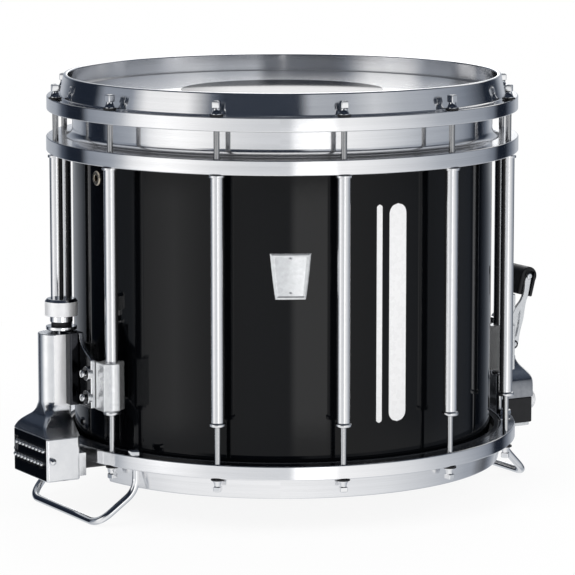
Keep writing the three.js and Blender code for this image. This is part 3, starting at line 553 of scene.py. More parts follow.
def bright_chrome(name, tone, rough):
    material, tree, shader = finish(name, metallic=1.0)
    place = node(tree, "TexCoord")[3]
    dark = (tone * 0.95, tone * 0.96, tone * 0.98)
    coloured(tree, shader, noise(tree, place, 90, 3), dark, (tone, tone, tone))
    tree.links.new(between(tree, noise(tree, place, 500, 3), rough * 0.7, rough * 1.4),
                   shader.inputs["Roughness"])
    return material


def satin_plastic():
    material, tree, shader = finish("black_moulding", specular_ior_level=0.3)
    place = node(tree, "TexCoord")[3]
    coloured(tree, shader, noise(tree, place, 120, 3), (0.008, 0.008, 0.009), (0.018, 0.018, 0.02))
    tree.links.new(between(tree, noise(tree, place, 300, 3), 0.32, 0.48), shader.inputs["Roughness"])
    bumped(tree, shader, noise(tree, place, 1500, 2), 0.02, 0.3)
    return material


CHROME = bright_chrome("bright_chrome", 0.86, 0.06)
# One rod steel in two tones: darker on the top rods as painted shade under the batter hoop, paler on the
# bottom rods as painted light.
ROD_STEEL_PAINTED_SHADE = bright_chrome("rod_steel", 0.36, 0.22)
ROD_STEEL_PAINTED_LIGHT = bright_chrome("rod_steel_painted_light", 0.56, 0.14)
BLACK = satin_plastic()


def rounded_ring(x, y, corner, steps=4):
    """Points round a rectangle with rounded corners, from the low corner onwards."""
    return rounded([(x[0], y[0], corner), (x[1], y[0], corner), (x[1], y[1], corner),
                    (x[0], y[1], corner)], steps)


def key_rod(name, seat, way, head, shank, threads):
    """A rod with its head at the seat, pointing along way, and threads between two heights."""
    outline = [(0, shank), (ROD - ROD_POINT, shank), (ROD, shank + way * ROD_POINT)]
    for turn in range(int(abs(threads[1] - threads[0]) / THREAD_PITCH)):
        crest = threads[0] + way * turn * THREAD_PITCH
        outline += [(ROD, crest), (ROD - THREAD_DEPTH, crest + way * THREAD_PITCH / 2)]
    above = [(ROD, WASHER_LOW), (WASHER - WASHER_EDGE, WASHER_LOW), (WASHER, WASHER_LOW + WASHER_EDGE),
             (WASHER, WASHER_HIGH - WASHER_EDGE), (WASHER - WASHER_EDGE, WASHER_HIGH), *BELL,
             (0, BELL[-1][1])]
    body = turned(name, outline + [(radius, seat + way * up) for radius, up in above], 48)
    half = KEY_SQUARE / 2
    rise = KEY_FOOT + [(head - drop, inset, corner) for drop, inset, corner in KEY_CROWN]
    square = skinned("key", [[(*point, seat + way * up) for point in rounded_ring(
        (inset - half, half - inset), (inset - half, half - inset), corner)] for up, inset, corner in rise])
    return smooth(combined(body, [square], "UNION"))


# The top rods take the darker steel, painted shade, and the bottom rods the paler steel, painted light.
for kind, seat, way, steel, *ends in (("top", TOP_SEAT, 1, ROD_STEEL_PAINTED_SHADE, TOP_HEAD, TOP_SHANK, TOP_THREADS),
                                      ("bottom", LOW_SEAT, -1, ROD_STEEL_PAINTED_LIGHT, LOW_HEAD, LOW_SHANK, LOW_THREADS)):
    built = key_rod(kind, seat, way, *ends)
    rod_mesh = built.data
    bpy.data.objects.remove(built)
    for material in (CHROME, steel, BLACK):
        rod_mesh.materials.append(material)
    # The washer is black, partly as painted shadow under the key head; the head above it is bright, and the
    # shank below it plain steel
    for face in rod_mesh.polygons:
        above = (face.center.z / MM - seat) * way
        face.material_index = 1 if above < WASHER_LOW - 0.2 else 2 if above < WASHER_HIGH + 0.02 else 0
    for number, azimuth in enumerate(LUGS, 1):
        rod = set_round(f"{kind}_rod", rod_mesh, number, azimuth)
        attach(rod, "drum")
        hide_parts(f"{kind}_tension_rod_{number:02d}")

# Guards
# A bent steel wire under each strainer keeps it off the ground, and the drum rests on both. Each leg
# goes up through the snare hoop's flange and is held there by a domed nut.

SEAT = 198.307
STRAND_Z = 42.6
WIRE = 3.1
LEG_X = 177.18
LEG_Y = 72.67
FOOT_X = 206.5
FOOT_Y = 62.7
LEG_TOP = 62.2
LEG_KNEE = 29.7
GUARD_CORNERS = ((LEG_X, LEG_Y, LEG_TOP), (LEG_X, LEG_Y, LEG_KNEE), (FOOT_X, FOOT_Y, WIRE),
                 (FOOT_X, -FOOT_Y, WIRE), (LEG_X, -LEG_Y, LEG_KNEE), (LEG_X, -LEG_Y, LEG_TOP))
GUARD_BENDS = (10, 14, 14, 10)
NUT_LOW = 59.0
NUT_SHOULDER = 62.2
NUT_TOP = 63.4
NUT = 6.0
NUT_CROWN = 4.6


def bent_wire(name, corners, bends, radius, steps=10, sides=32):
    """A round wire through corner points, with each corner bent over its own length."""
    corners = [Vector(corner) for corner in corners]
    line = [corners[0]]
    for corner, before, after, bend in zip(corners[1:], corners, corners[2:], bends):
        start = corner + (before - corner).normalized() * bend
        end = corner + (after - corner).normalized() * bend
        for step in range(steps + 1):
            share = step / steps
            line.append(start.lerp(corner, share).lerp(corner.lerp(end, share), share))
    line.append(corners[-1])
    rings = []
    for at, point in enumerate(line):
        along = (line[min(at + 1, len(line) - 1)] - line[max(at - 1, 0)]).normalized()
        side = Vector((1, 0, 0)).cross(along).normalized()
        up = along.cross(side)
        turns = [turn * math.tau / sides for turn in range(sides)]
        rings.append([point + (side * math.cos(turn) + up * math.sin(turn)) * radius for turn in turns])
    return skinned(name, rings)


for side, azimuth in (("adjuster", ADJUSTER), ("throw_off", THROW_OFF)):
    loop = bent_wire(f"{side}_guard_wire", GUARD_CORNERS, GUARD_BENDS, WIRE)
    nuts = [moved(turned("nut", rounded([(0, NUT_LOW, 0), (NUT, NUT_LOW, 0.4), (NUT, NUT_SHOULDER, 0.4),
                                         (NUT_CROWN, NUT_TOP, 1.0), (0, NUT_TOP, 0)], 4), 6),
                  shift(LEG_X, leg, 0)) for leg in (LEG_Y, -LEG_Y)]
    combined(loop, nuts, "UNION")
    moved(smooth(loop), spin(azimuth - 90))
    dressed(loop, CHROME, "chrome", "drum", f"{side}_guard")

# Tube clamps
# Cast blocks, polished to a satin, grip the two tubes beside each strainer. Each has an ear behind the
# strainer's plate, and two chromed bolts through the plate and the ear hold them together.

CLAMP_LOW = 50.6
CLAMP_HIGH = 89.8
CLAMP_TUBE_X = -11.4
CLAMP_TUBE_Y = 50.08
CLAMP_ROUND = 10.3
CLAMP_FRONT = (7.6, 0.3)
CLAMP_BACK = (0.8, 22.5)
CLAMP_TURNS = [math.radians(-42 + 4 * step) for step in range(14)]
CLAMP_EDGE = 1.0
CLAMP_PLAY = 0.3
EAR_START = 30
EAR_DROP = 0.1
EAR_SECTION = (-4.3, -0.31)
BOLT_Y = 38
BOLT_HEIGHTS = (60.4, 80.0)
BOLT_SHANK = (2.4, -3.5, 9)
BOLT_HEAD = (3.2, 8.2, 10.6)
SOCKET = 1.7
SOCKET_ENDS = (9.3, 14)


def side_frame(azimuth):
    """Where one side's pieces stand: X runs outwards from the clamps' face, Y along the hoop."""
    return spin(azimuth - 90) @ shift(SEAT, 0, STRAND_Z)


def loft(name, sections, steps=5, ends=0.0):
    """A casting through rounded rectangles: (height, inner, outer, half width, corner)."""
    rows = [section for section in sections
            if not ends or sections[0][0] + ends < section[0] < sections[-1][0] - ends]
    turns = [step * math.pi / 8 for step in range(4)] if ends else []
    for (height, inner, outer, half, corner), way in ((sections[0], 1), (sections[-1], -1)):
        for turn in turns:
            inset = ends * (1 - math.cos(turn))
            rows.append((height + way * ends * (1 - math.sin(turn)), inner + inset, outer - inset,
                         half - inset, max(corner - inset, 0.3)))
    return skinned(name, [[(*point, height) for point in
                           rounded_ring((inner, outer), (-half, half), corner, steps)]
                          for height, inner, outer, half, corner in sorted(rows)])


def straight(name, heights, *section, steps=4, ends=0.0):
    """A casting of one section (inner, outer, half width, corner) from the first height to the second."""
    return loft(name, [(height, *section) for height in heights], steps, ends)


def bar(axis, radius, low, high, x, y, z, sides=40, dome=0.5):
    """A turned bar along X or Y, with its ends rounded."""
    piece = turned("bar", rounded([(0, low, 0), (radius, low, dome), (radius, high, dome), (0, high, 0)], 4),
                   sides)
    return moved(piece, spin(90, "Y") if axis == "X" else spin(-90, "X"), shift(x, y, z))


def cast_metal(name, dark, light, rough, grain, metallic=1.0):
    """Cast metal with faint clouds and a fine skin."""
    material, tree, shader = finish(name, metallic=metallic)
    place = node(tree, "TexCoord")[3]
    coloured(tree, shader, noise(tree, place, grain * 0.3, 4), dark, light, (0.35, 0.7))
    tree.links.new(between(tree, noise(tree, place, grain, 3), rough * 0.7, rough * 1.3),
                   shader.inputs["Roughness"])
    bumped(tree, shader, noise(tree, place, grain, 4), 0.03, 0.2)
    return material


def slab(name, outline, low, high, edge):
    """A plate of (side, height) points, from low to high along X, with its edges rounded."""
    sheet = bmesh.new()
    rows = [[sheet.verts.new(Vector((depth, side, height)) * MM) for side, height in outline]
            for depth in (low, high)]
    for at in range(len(outline)):
        ahead = (at + 1) % len(outline)
        sheet.faces.new((rows[0][at], rows[0][ahead], rows[1][ahead], rows[1][at]))
    for row in rows:
        sheet.faces.new(row)
    piece = made(name, sheet)
    if edge:
        bevel = piece.modifiers.new("edge", "BEVEL")
        bevel.width = edge * MM
        bevel.segments = 3
        bevel.limit_method = "ANGLE"
        bevel.angle_limit = math.radians(40)
        settled(piece)
    return piece


SATIN = cast_metal("satin_casting", (0.72, 0.73, 0.74), (0.80, 0.81, 0.82), 0.24, 900, 0.75)
half_clamp = [CLAMP_FRONT, *[(CLAMP_ROUND * math.cos(turn), -CLAMP_TUBE_X + CLAMP_ROUND * math.sin(turn))
                             for turn in CLAMP_TURNS], CLAMP_BACK]
clamp_outline = half_clamp + [(-side, depth) for side, depth in half_clamp[::-1]]
for side, azimuth in (("adjuster", ADJUSTER), ("throw_off", THROW_OFF)):
    for mark, way in (("a", 1), ("b", -1)):
        clamp = moved(slab("clamp", clamp_outline, CLAMP_LOW, CLAMP_HIGH, CLAMP_EDGE), spin(-90, "Y"),
                      shift(0, way * CLAMP_TUBE_Y, 0))
        ear = straight("ear", (CLAMP_LOW + EAR_DROP, CLAMP_HIGH - EAR_DROP), *EAR_SECTION,
                       (CLAMP_TUBE_Y - EAR_START) / 2, 1.5, steps=5, ends=1.2)
        combined(clamp, [moved(ear, shift(0, way * (CLAMP_TUBE_Y + EAR_START) / 2, 0))], "UNION")
        combined(clamp, [peg(TUBE + CLAMP_PLAY, CLAMP_LOW - HOLE_OVERRUN, CLAMP_HIGH + HOLE_OVERRUN,
                             shift(CLAMP_TUBE_X, way * CLAMP_TUBE_Y, 0), sides=TUBE_SIDES)], "DIFFERENCE")
        shanks = [bar("X", *BOLT_SHANK, 0, way * BOLT_Y, height) for height in BOLT_HEIGHTS]
        heads = [bar("X", *BOLT_HEAD, 0, way * BOLT_Y, height, dome=0.8) for height in BOLT_HEIGHTS]
        sockets = [peg(SOCKET, *SOCKET_ENDS, spin(90, "Y"), shift(0, way * BOLT_Y, height), sides=6)
                   for height in BOLT_HEIGHTS]
        combined(clamp, [gathered(shanks), gathered(heads)], "UNION")
        combined(clamp, [gathered(sockets)], "DIFFERENCE")
        clamp.name = f"{side}_clamp_{mark}"
        smooth(clamp)
        bolted = [face.center.x > 0 for face in clamp.data.polygons]
        moved(clamp, side_frame(azimuth))
        dressed(clamp, SATIN, "brushed_metal", "drum", f"{side}_tube_clamp_{mark}")
        second_finish(clamp, CHROME, bolted)

# Height adjuster
# The adjuster is a chromed die casting: a round-nosed column on a darker back and bolted plate, flaring
# out over the strand block that it lifts. A chromed knob on top turns the lifting screw.

PLATE_HALF = 43
PLATE_SHOULDER = 91
PLATE_THICK = 4
PLATE_EDGE = 0.7
SWEEP_SHARES = ((0.87, 0.1), (0.68, 0.18), (0.47, 0.3), (0.31, 0.4), (0.19, 0.52), (0.11, 0.65), (0.06, 0.79))
BOLT_PLACES = [(way * BOLT_Y, height) for way in (1, -1) for height in BOLT_HEIGHTS]
BOSS = (6, 2, 6.7)
BOSS_HOLE = (2.8, -3, 12)
COLUMN_HALF = 21.8
COLUMN_TOP = 111.1
COLUMN_FOOT = 51.6
COLUMN_BACK = 3.7
COLUMN_DEPTH = 11.8
NOSE_BACK = 9.0
NOSE_HALF = 13.2
NOSE_DEPTH = 29.2
NOSE_TOP = 109.3
NOSE_CORNER = 13.1
NOSE_BRIM = ((0.9, 0), (0.5, 0.1), (0.2, 0.35), (0, 0.8))
NECK_CORNERS = ((48.0, 8.6), (49.5, 10.2), (51.0, 11.8), (52.5, 12.8), (54.0, NOSE_CORNER))
FLARE_LOW = 27.7
FLARE_TOP = 46.5
FLARE_CORNER = 2.0
FLARE_ROUNDING = 11.0
FLARE_SHARES = ((0, 1, 1, 0), (0.23, 0.96, 0.75, 0.02), (0.41, 0.81, 0.56, 0.06), (0.58, 0.5, 0.37, 0.13),
                (0.78, 0.12, 0.13, 0.25), (1, 0, 0, 0.5))
BLOCK_HALF = 32
BLOCK_DEPTH = 38.7
TONGUE_SLOT = ((-5, 13.5), (-9.3, 9.3), (20, 99.1))
HOLLOW = ((24.7, 11.7, 35.7, 29, 2), (37.1, 11.7, 26.2, 13.2, 2))
SCREW_HOLE = 3.3
KNOB_X = 9.2


def mounting_plate(top):
    """The plate behind a casting, swept up to its column, with a boss for each bolt."""
    sweep = [(COLUMN_HALF + out * (PLATE_HALF - COLUMN_HALF), PLATE_SHOULDER + up * (top - PLATE_SHOULDER))
             for out, up in SWEEP_SHARES]
    half = [(PLATE_HALF, COLUMN_FOOT), (PLATE_HALF, PLATE_SHOULDER), *sweep, (COLUMN_HALF, top)]
    outline = half + [(-side, height) for side, height in half[::-1]]
    plate = slab("plate", outline, 0, PLATE_THICK, PLATE_EDGE)
    bosses = [bar("X", *BOSS, 0, *place, dome=0.6) for place in BOLT_PLACES]
    combined(plate, [gathered(bosses)], "UNION")
    holes = [peg(*BOSS_HOLE, spin(90, "Y"), shift(0, *place)) for place in BOLT_PLACES]
    return combined(plate, [gathered(holes)], "DIFFERENCE")


def eased(shares, count=20):
    """A table of shares read off at even steps along a smooth curve through it."""
    read = []
    for step in range(count + 1):
        up = step / count
        at = max(index for index in range(len(shares) - 1) if shares[index][0] <= up)
        low, high = shares[at], shares[at + 1]
        before, after = shares[max(at - 1, 0)], shares[min(at + 2, len(shares) - 1)]
        gap = high[0] - low[0]
        share = (up - low[0]) / gap
        ahead = 3 * share ** 2 - 2 * share ** 3
        row = [up]
        for value in range(1, len(low)):
            start = (high[value] - before[value]) / (high[0] - before[0]) * gap
            end = (after[value] - low[value]) / (after[0] - low[0]) * gap
            row.append((1 - ahead) * low[value] + ahead * high[value]
                       + (share ** 3 - 2 * share ** 2 + share) * start + (share ** 3 - share ** 2) * end)
        read.append(row)
    return read


def nosed(name, sections, steps=14):
    """A casting through (height, inner, outer, half width, corner), with only its outer corners round."""
    rings = []
    for height, inner, outer, half, corner in sections:
        side = [(inner, half)]
        for step in range(steps + 1):
            turn = step / steps * math.pi / 2
            side.append((outer - corner + corner * math.sin(turn), half - corner + corner * math.cos(turn)))
        rings.append([(x, -y, height) for x, y in side] + [(x, y, height) for x, y in side[::-1]])
    return skinned(name, rings)


CAST_CHROME = cast_metal("cast_chrome", (0.84, 0.845, 0.855), (0.9, 0.9, 0.905), 0.2, 300)
SMOKED = cast_metal("smoked_chrome", (0.03, 0.031, 0.035), (0.05, 0.052, 0.057), 0.14, 300)
KNURLED = cast_metal("satin_chrome", (0.93, 0.93, 0.94), (0.97, 0.97, 0.97), 0.38, 900, 0.45)

nose_rows = [(FLARE_LOW + up * (FLARE_TOP - FLARE_LOW), NOSE_BACK,
              NOSE_DEPTH + out * (BLOCK_DEPTH - NOSE_DEPTH), NOSE_HALF + wide * (BLOCK_HALF - NOSE_HALF),
              FLARE_CORNER + FLARE_ROUNDING * turn) for up, out, wide, turn in eased(FLARE_SHARES)]
nose_rows += [(height, NOSE_BACK, NOSE_DEPTH, NOSE_HALF, corner) for height, corner in NECK_CORNERS]
nose_rows += [(NOSE_TOP - drop, NOSE_BACK, NOSE_DEPTH - inset, NOSE_HALF - inset, NOSE_CORNER - inset)
              for drop, inset in NOSE_BRIM]
housing = nosed("adjuster_casting", nose_rows)
back = straight("column_back", (COLUMN_FOOT, COLUMN_TOP), COLUMN_BACK, COLUMN_DEPTH, COLUMN_HALF, 1.5,
                steps=5, ends=0.6)
combined(housing, [back, mounting_plate(COLUMN_TOP)], "UNION")
combined(housing, [block(*TONGUE_SLOT), peg(SCREW_HOLE, 50, 120, shift(KNOB_X, 0, 0)),
                   loft("hollow", HOLLOW)], "DIFFERENCE")
smooth(housing)
shaded, flanks = [], []
for face in housing.data.polygons:
    out, height = face.center.x / MM, face.center.z / MM
    behind = out < COLUMN_DEPTH + 0.1
    plate_rim = abs(face.center.y / MM) > COLUMN_HALF + 0.5 and abs(face.normal.x) < 0.95
    shaded.append(behind and height > COLUMN_FOOT - 1 and not plate_rim)
    flanks.append(not behind and height > COLUMN_FOOT and abs(face.normal.y) > 0.9)
moved(housing, side_frame(ADJUSTER))
dressed(housing, CAST_CHROME, "cast_chrome", "drum", "height_adjuster_housing")
second_finish(housing, SMOKED, shaded)
second_finish(housing, KNURLED, flanks)

# Height knob
# A turned and chromed knob stands on the column's top, on the lifting screw. The wall of its grip is
# left satin, and a black moulded spacer ring sits round its neck.

KNOB_WALL = 122.8
KNOB_OUTLINE = (
    (0, 33.0, 0), (3, 33.0, 0.5), (3, 111.4, 0), (12.7, 111.4, 0.4), (12.7, 114.2, 0.4), (7.0, 114.2, 0),
    (7.0, 117.6, 0), (9.3, 117.6, 0.5), (9.3, KNOB_WALL, 0), (13.4, KNOB_WALL, 0.5), (13.4, 134.6, 0.8),
    (11.6, 136.9, 1.0), (0, 136.9, 0))
SPACER_OUTLINE = ((7.05, 114.25, 0.1), (8.2, 114.25, 0.3), (8.2, 117.55, 0.3), (7.05, 117.55, 0.1))

knob = turned("height_knob_cap", rounded(KNOB_OUTLINE, 4), 96)
smooth(knob)
wall = [abs(face.normal.z) < 0.3 and face.center.z > KNOB_WALL * MM for face in knob.data.polygons]
moved(knob, shift(KNOB_X, 0, 0), side_frame(ADJUSTER))
dressed(knob, CHROME, "chrome", "adjuster_knob", "height_knob")
second_finish(knob, KNURLED, wall)

spacer = turned("height_knob_spacer", rounded(SPACER_OUTLINE, 3), 72)
moved(smooth(spacer), shift(KNOB_X, 0, 0), side_frame(ADJUSTER))
dressed(spacer, BLACK, "black_plastic", "adjuster_knob")

# Strand block
# The block holds the strands' end and slides up and down under the casting. It is cast and chromed, with
# a smoked face and a window for the strand screws, and a tongue behind it takes the lifting screw.

BLOCK_INNER = 8.7
BLOCK_ENDS = (-8.4, 27.4)
BLOCK_ROOM = ((11.7, 35.7), (-29, 29), (-5.4, 30))
BLOCK_WINDOW = ((32.7, 42), (-29, 29), (1.8, 21.5))
STRAND_ROOM = ((-6, 12), (-27.9, 27.9), (-1.7, 1.7))
TAB = (2.7, 10.2, 31, 1.0)
TAB_ENDS = (-5.8, 13.6)
TONGUE = (5.2, 13.2, 9, 1.0)
TONGUE_ENDS = (10.6, 58)
FACE_FROM = 36

block_body = straight("strand_block_body", BLOCK_ENDS, BLOCK_INNER, BLOCK_DEPTH, BLOCK_HALF, 2.4,
                      steps=5, ends=1.4)
combined(block_body, [block(*BLOCK_ROOM), block(*BLOCK_WINDOW)], "DIFFERENCE")
combined(block_body, [straight("tab", TAB_ENDS, *TAB, ends=0.5),
                      straight("tongue", TONGUE_ENDS, *TONGUE, ends=0.8)], "UNION")
combined(block_body, [peg(SCREW_HOLE, 13.6, 60, shift(KNOB_X, 0, 0)), block(*STRAND_ROOM)], "DIFFERENCE")
smooth(block_body)
front = [face.normal.x > 0.95 and face.center.x > FACE_FROM * MM for face in block_body.data.polygons]
moved(block_body, side_frame(ADJUSTER))
dressed(block_body, CAST_CHROME, "cast_chrome", "adjuster_block", "strand_block")
second_finish(block_body, SMOKED, front)

# Strand screws
# A bar in the block's window, smoked like the block's face, holds two staggered rows of slotted screws.
# The screws are chromed, one to each strand, and each sets its own strand's tension.

STRANDS = 18
STRAND_PITCH = 3.1
STRAND_SIDES = [(at - (STRANDS - 1) / 2) * STRAND_PITCH for at in range(STRANDS)]
SCREW_BAR = (28.7, 37.4, 28.7, 0.8)
SCREW_BAR_ENDS = (2.1, 21.2)
SCREW_BAR_FRONT = 37.6
SCREW_ROWS = (6.1, 17.1)
SCREW_FACE = 41.1
SCREW = (1.9, 34.0, SCREW_FACE)
SCREW_SLOT = ((-0.3, 0.3), (-3, 3), (-0.5, 2))

screw_bar = straight("strand_screw_bar", SCREW_BAR_ENDS, *SCREW_BAR, ends=0.4)
for at, side in enumerate(STRAND_SIDES):
    height = SCREW_ROWS[at % 2]
    screw = bar("X", *SCREW, 0, side, height, sides=24, dome=1.6)
    combined(screw, [block(*SCREW_SLOT, spin(90, "Y"), shift(SCREW_FACE, side, height))], "DIFFERENCE")
    combined(screw_bar, [screw], "UNION")
smooth(screw_bar)
dark_bar = [face.center.x < SCREW_BAR_FRONT * MM for face in screw_bar.data.polygons]
moved(screw_bar, side_frame(ADJUSTER))
dressed(screw_bar, CAST_CHROME, "chrome", "adjuster_block", "strand_screws")
second_finish(screw_bar, SMOKED, dark_bar)

# Strand clamp pin
# A chromed pin runs across the block, through its sides and the bar of strand screws. A ball at each
# end keeps it from sliding out.

PIN_PLACE = (34.3, 0, 8.95)
PIN_RADIUS = 1.4
PIN_HALF = 32.5
BALL = 2.9
BALL_SIDE = 33.8
BALL_STEPS = 14

pin = bar("Y", PIN_RADIUS, -PIN_HALF, PIN_HALF, *PIN_PLACE)
arc = [(BALL * math.sin(turn), -BALL * math.cos(turn))
       for turn in (math.pi * step / BALL_STEPS for step in range(1, BALL_STEPS))]
balls = [moved(turned("ball", [(0, -BALL), *arc, (0, BALL)], 40), shift(PIN_PLACE[0], side, PIN_PLACE[2]))
         for side in (BALL_SIDE, -BALL_SIDE)]
combined(pin, balls, "UNION")
pin.name = "strand_clamp_pin"
moved(smooth(pin), side_frame(ADJUSTER))
dressed(pin, CHROME, "chrome", "adjuster_block")

# Snare strands
# Eighteen strands lie just under the snare head, moulded into a flat bar at each end. Their gut colour is
# painted near black, as painted shade under the snare hoop and head. One bar hooks into the strand block
# and the other is clamped in the throw-off's carriage.

STRAND = 0.7
STRAND_REACH = SEAT + 14.7
END_BAR = (213.7, 221.1)
END_BAR_HALF = 27.6
END_BAR_THICK = 1.1


def strand_dark_painted_shade():
    material, tree, shader = finish("strand_dark_painted_shade", roughness=0.45)
    place = node(tree, "TexCoord")[3]
    # The strands' colour is painted dark grey: painted shade where they lie under the snare hoop and head.
    coloured(tree, shader, noise(tree, place, 300, 3), (0.05, 0.05, 0.052), (0.1, 0.1, 0.102))
    bumped(tree, shader, noise(tree, place, 900, 3), 0.05, 0.3)
    return material


strand_set = [bar("X", STRAND, -STRAND_REACH, STRAND_REACH, 0, side, 0, sides=16, dome=0.1)
              for side in STRAND_SIDES]
end_bars = [straight("end", (-END_BAR_THICK, END_BAR_THICK), *sorted(way * end for end in END_BAR),
                     END_BAR_HALF, 0.6, steps=3, ends=0.3) for way in (1, -1)]
strands = combined(gathered(strand_set), end_bars, "UNION")
strands.name = "strand_set"
moved(smooth(strands), shift(0, 0, STRAND_Z), spin(ADJUSTER + 90))
dressed(strands, strand_dark_painted_shade(), "strand_gut", "strands", "snare_strands")

# Throw-off
# The throw-off's body is a second chromed die casting on a like plate, bolted to the clamps. Two ears on
# its front carry the lever, and it is hollow below for the link and the carriage. The sides of its foot
# are left dull.

THROW_HALF = 29
THROW_WAIST = 15
THROW_DEPTH = 29.3
THROW_FOOT = 19
THROW_RISE = 35
THROW_SHARES = ((0, 1, 1), (0.4, 1, 0.97), (0.54, 0.92, 0.75), (0.66, 0.66, 0.42), (0.78, 0.28, 0.18),
                (0.92, 0.02, 0), (1, 0, 0))
THROW_BAND = 36
EAR_HALF = 10.7
EAR_SLOT = 6.4
EAR_FOOT = 50
EAR_INNER = 18.8
EYE = 4.2
PIVOT = (27.2, 64.1)
PIVOT_HOLE = 2.1
LEVER_SLOT = ((14.6, 42), (-EAR_SLOT, EAR_SLOT), (31, 72.5))
CARRIAGE_ROOM = ((11.7, 32.7), (-26, 26), (17, 31))
LINK_ROOM = ((14.6, 32.7), (-EAR_SLOT, EAR_SLOT), (19, 34))

DULL = cast_metal("dull_casting", (0.30, 0.31, 0.33), (0.40, 0.41, 0.43), 0.34, 500)
casting = loft("throw_off_casting", [
    (THROW_FOOT + up * THROW_RISE, COLUMN_BACK, THROW_DEPTH + out * (BLOCK_DEPTH - THROW_DEPTH),
     THROW_WAIST + wide * (THROW_HALF - THROW_WAIST), 2.4) for up, out, wide in eased(THROW_SHARES, 24)])
ears = straight("ears", (EAR_FOOT, PIVOT[1]), EAR_INNER, THROW_DEPTH, EAR_HALF, 1.2)
eye = bar("Y", EYE, -EAR_HALF, EAR_HALF, PIVOT[0], 0, PIVOT[1])
combined(casting, [ears, eye, mounting_plate(PLATE_SHOULDER + 0.01)], "UNION")
combined(casting, [block(*LEVER_SLOT), block(*CARRIAGE_ROOM), block(*LINK_ROOM),
                   bar("Y", PIVOT_HOLE, -22, 22, PIVOT[0], 0, PIVOT[1])], "DIFFERENCE")
smooth(casting)
band = [abs(face.normal.y) > 0.9 and face.center.z < THROW_BAND * MM for face in casting.data.polygons]
moved(casting, side_frame(THROW_OFF))
dressed(casting, CAST_CHROME, "cast_chrome", "drum", "throw_off_housing")
second_finish(casting, DULL, band)

# Lever
# The lever is aluminium, polished to a satin: two open side plates joined by a bridge. It turns on stub
# pins in the casting's ears, each with a black moulded washer.

PIN = (26.2, 80.5)
GRIP = (42.6, 123.3)
LEVER_PLATES = (11.0, 14.0)
LEVER_FOOT = 4.8
LEVER_TIP = 2.4
LEVER_OUTER_SHARES = ((0.113, 0.181), (0.166, 0.36), (0.204, 0.584), (0.25, 0.72), (0.282, 0.878))
LEVER_INNER_SHARES = ((0.191, 0.934), (0.177, 0.787), (0.127, 0.654), (0.049, 0.564), (-0.042, 0.429),
                      (-0.1, 0.36), (-0.1, 0.18))
WINDOW_SHARES = ((0.082, 0.455), (0.113, 0.473), (0.082, 0.25), (0.05, 0.125), (0.024, 0.123))
BRIDGE = (23.7, 29.0, 13.7, 1.0)
BRIDGE_ENDS = (PIVOT[1] + 24.9, PIVOT[1] + 44.4)
LEVER_PINS = ((1.8, 6.4, 12.5, PIVOT, 0.1), (2.2, 12.5, 16.0, PIVOT, 0.6), (1.8, 3.3, 15.0, PIN, 0.4))
PIVOT_WASHER = ((2.25, 14.05, 0), (3.6, 14.05, 0.2), (3.6, 15.5, 0.4), (2.25, 15.5, 0.2))


def curved(points, steps):
    """A closed curve through points, as a longer row of points."""
    row = []
    for at in range(len(points)):
        a, b, c, d = (Vector(points[(at + step) % len(points)]) for step in (-1, 0, 1, 2))
        for step in range(steps):
            t = step / steps
            row.append(0.5 * (2 * b + (c - a) * t + (2 * a - 5 * b + 4 * c - d) * t * t
                              + (3 * b - 3 * c + d - a) * t ** 3))
    return row


def flat_plate(name, outline, low, high, edge):
    """A plate of (out, height) points, from low to high along Y: a slab turned a quarter about Z."""
    return moved(slab(name, outline, -high, -low, edge), spin(-90))


def lever_plate(name, low, high):
    """One side plate of the lever: an open triangle between the pivot, the pin and the grip."""
    arm = GRIP[1] - PIVOT[1]
    outer, inner, window = ([(PIVOT[0] + out * arm, PIVOT[1] + up * arm) for out, up in shares]
                            for shares in (LEVER_OUTER_SHARES, LEVER_INNER_SHARES, WINDOW_SHARES))
    tip = [(GRIP[0] + LEVER_TIP, GRIP[1]), (GRIP[0], GRIP[1] + LEVER_TIP), (GRIP[0] - LEVER_TIP, GRIP[1])]
    foot = [(PIVOT[0] + LEVER_FOOT * math.cos(turn), PIVOT[1] + LEVER_FOOT * math.sin(turn))
            for turn in (math.pi * (1 + step / 8) for step in range(9))]
    plate = flat_plate(name, curved([*outer, *tip, *inner, *foot], 3), low, high, 0.5)
    hole = flat_plate("window", curved(window, 5), low - 1, high + 1, 0)
    return combined(plate, [hole], "DIFFERENCE")


lever = lever_plate("throw_off_lever_body", *LEVER_PLATES)
other = lever_plate("other", *sorted(-face for face in LEVER_PLATES))
bridge = straight("bridge", BRIDGE_ENDS, *BRIDGE, ends=1.0)
pins = []
for radius, near, far, (out, up), dome in LEVER_PINS:
    pins.append(gathered([bar("Y", radius, *sorted((way * near, way * far)), out, 0, up, dome=dome)
                          for way in (1, -1)]))
combined(lever, [other, bridge, *pins], "UNION")
moved(smooth(lever), side_frame(THROW_OFF))
dressed(lever, SATIN, "polished_metal", "lever", "throw_off_lever")

washers = []
for way in (1, -1):
    outline = rounded([(radius, way * along, edge) for radius, along, edge in PIVOT_WASHER], 3)
    washers.append(moved(turned("washer", outline, 40), spin(-90, "X"), shift(PIVOT[0], 0, PIVOT[1])))
washer_pair = gathered(washers)
washer_pair.name = "lever_pivot_washers"
moved(smooth(washer_pair), side_frame(THROW_OFF))
dressed(washer_pair, BLACK, "black_plastic", "lever")

# Grip screws
# Two chromed screws with crossed slots, one from each side, hold the grip between the lever's plates.

GRIP_SCREW = ((0, 14.05, 0), (2.7, 14.05, 0.1), (2.7, 15.4, 1.1), (0, 15.4, 0))
CROSS_FLOOR = 14.8
CROSS_OPEN = 16
CROSS_ARMS = ((0.35, 1.5), (1.5, 0.35))

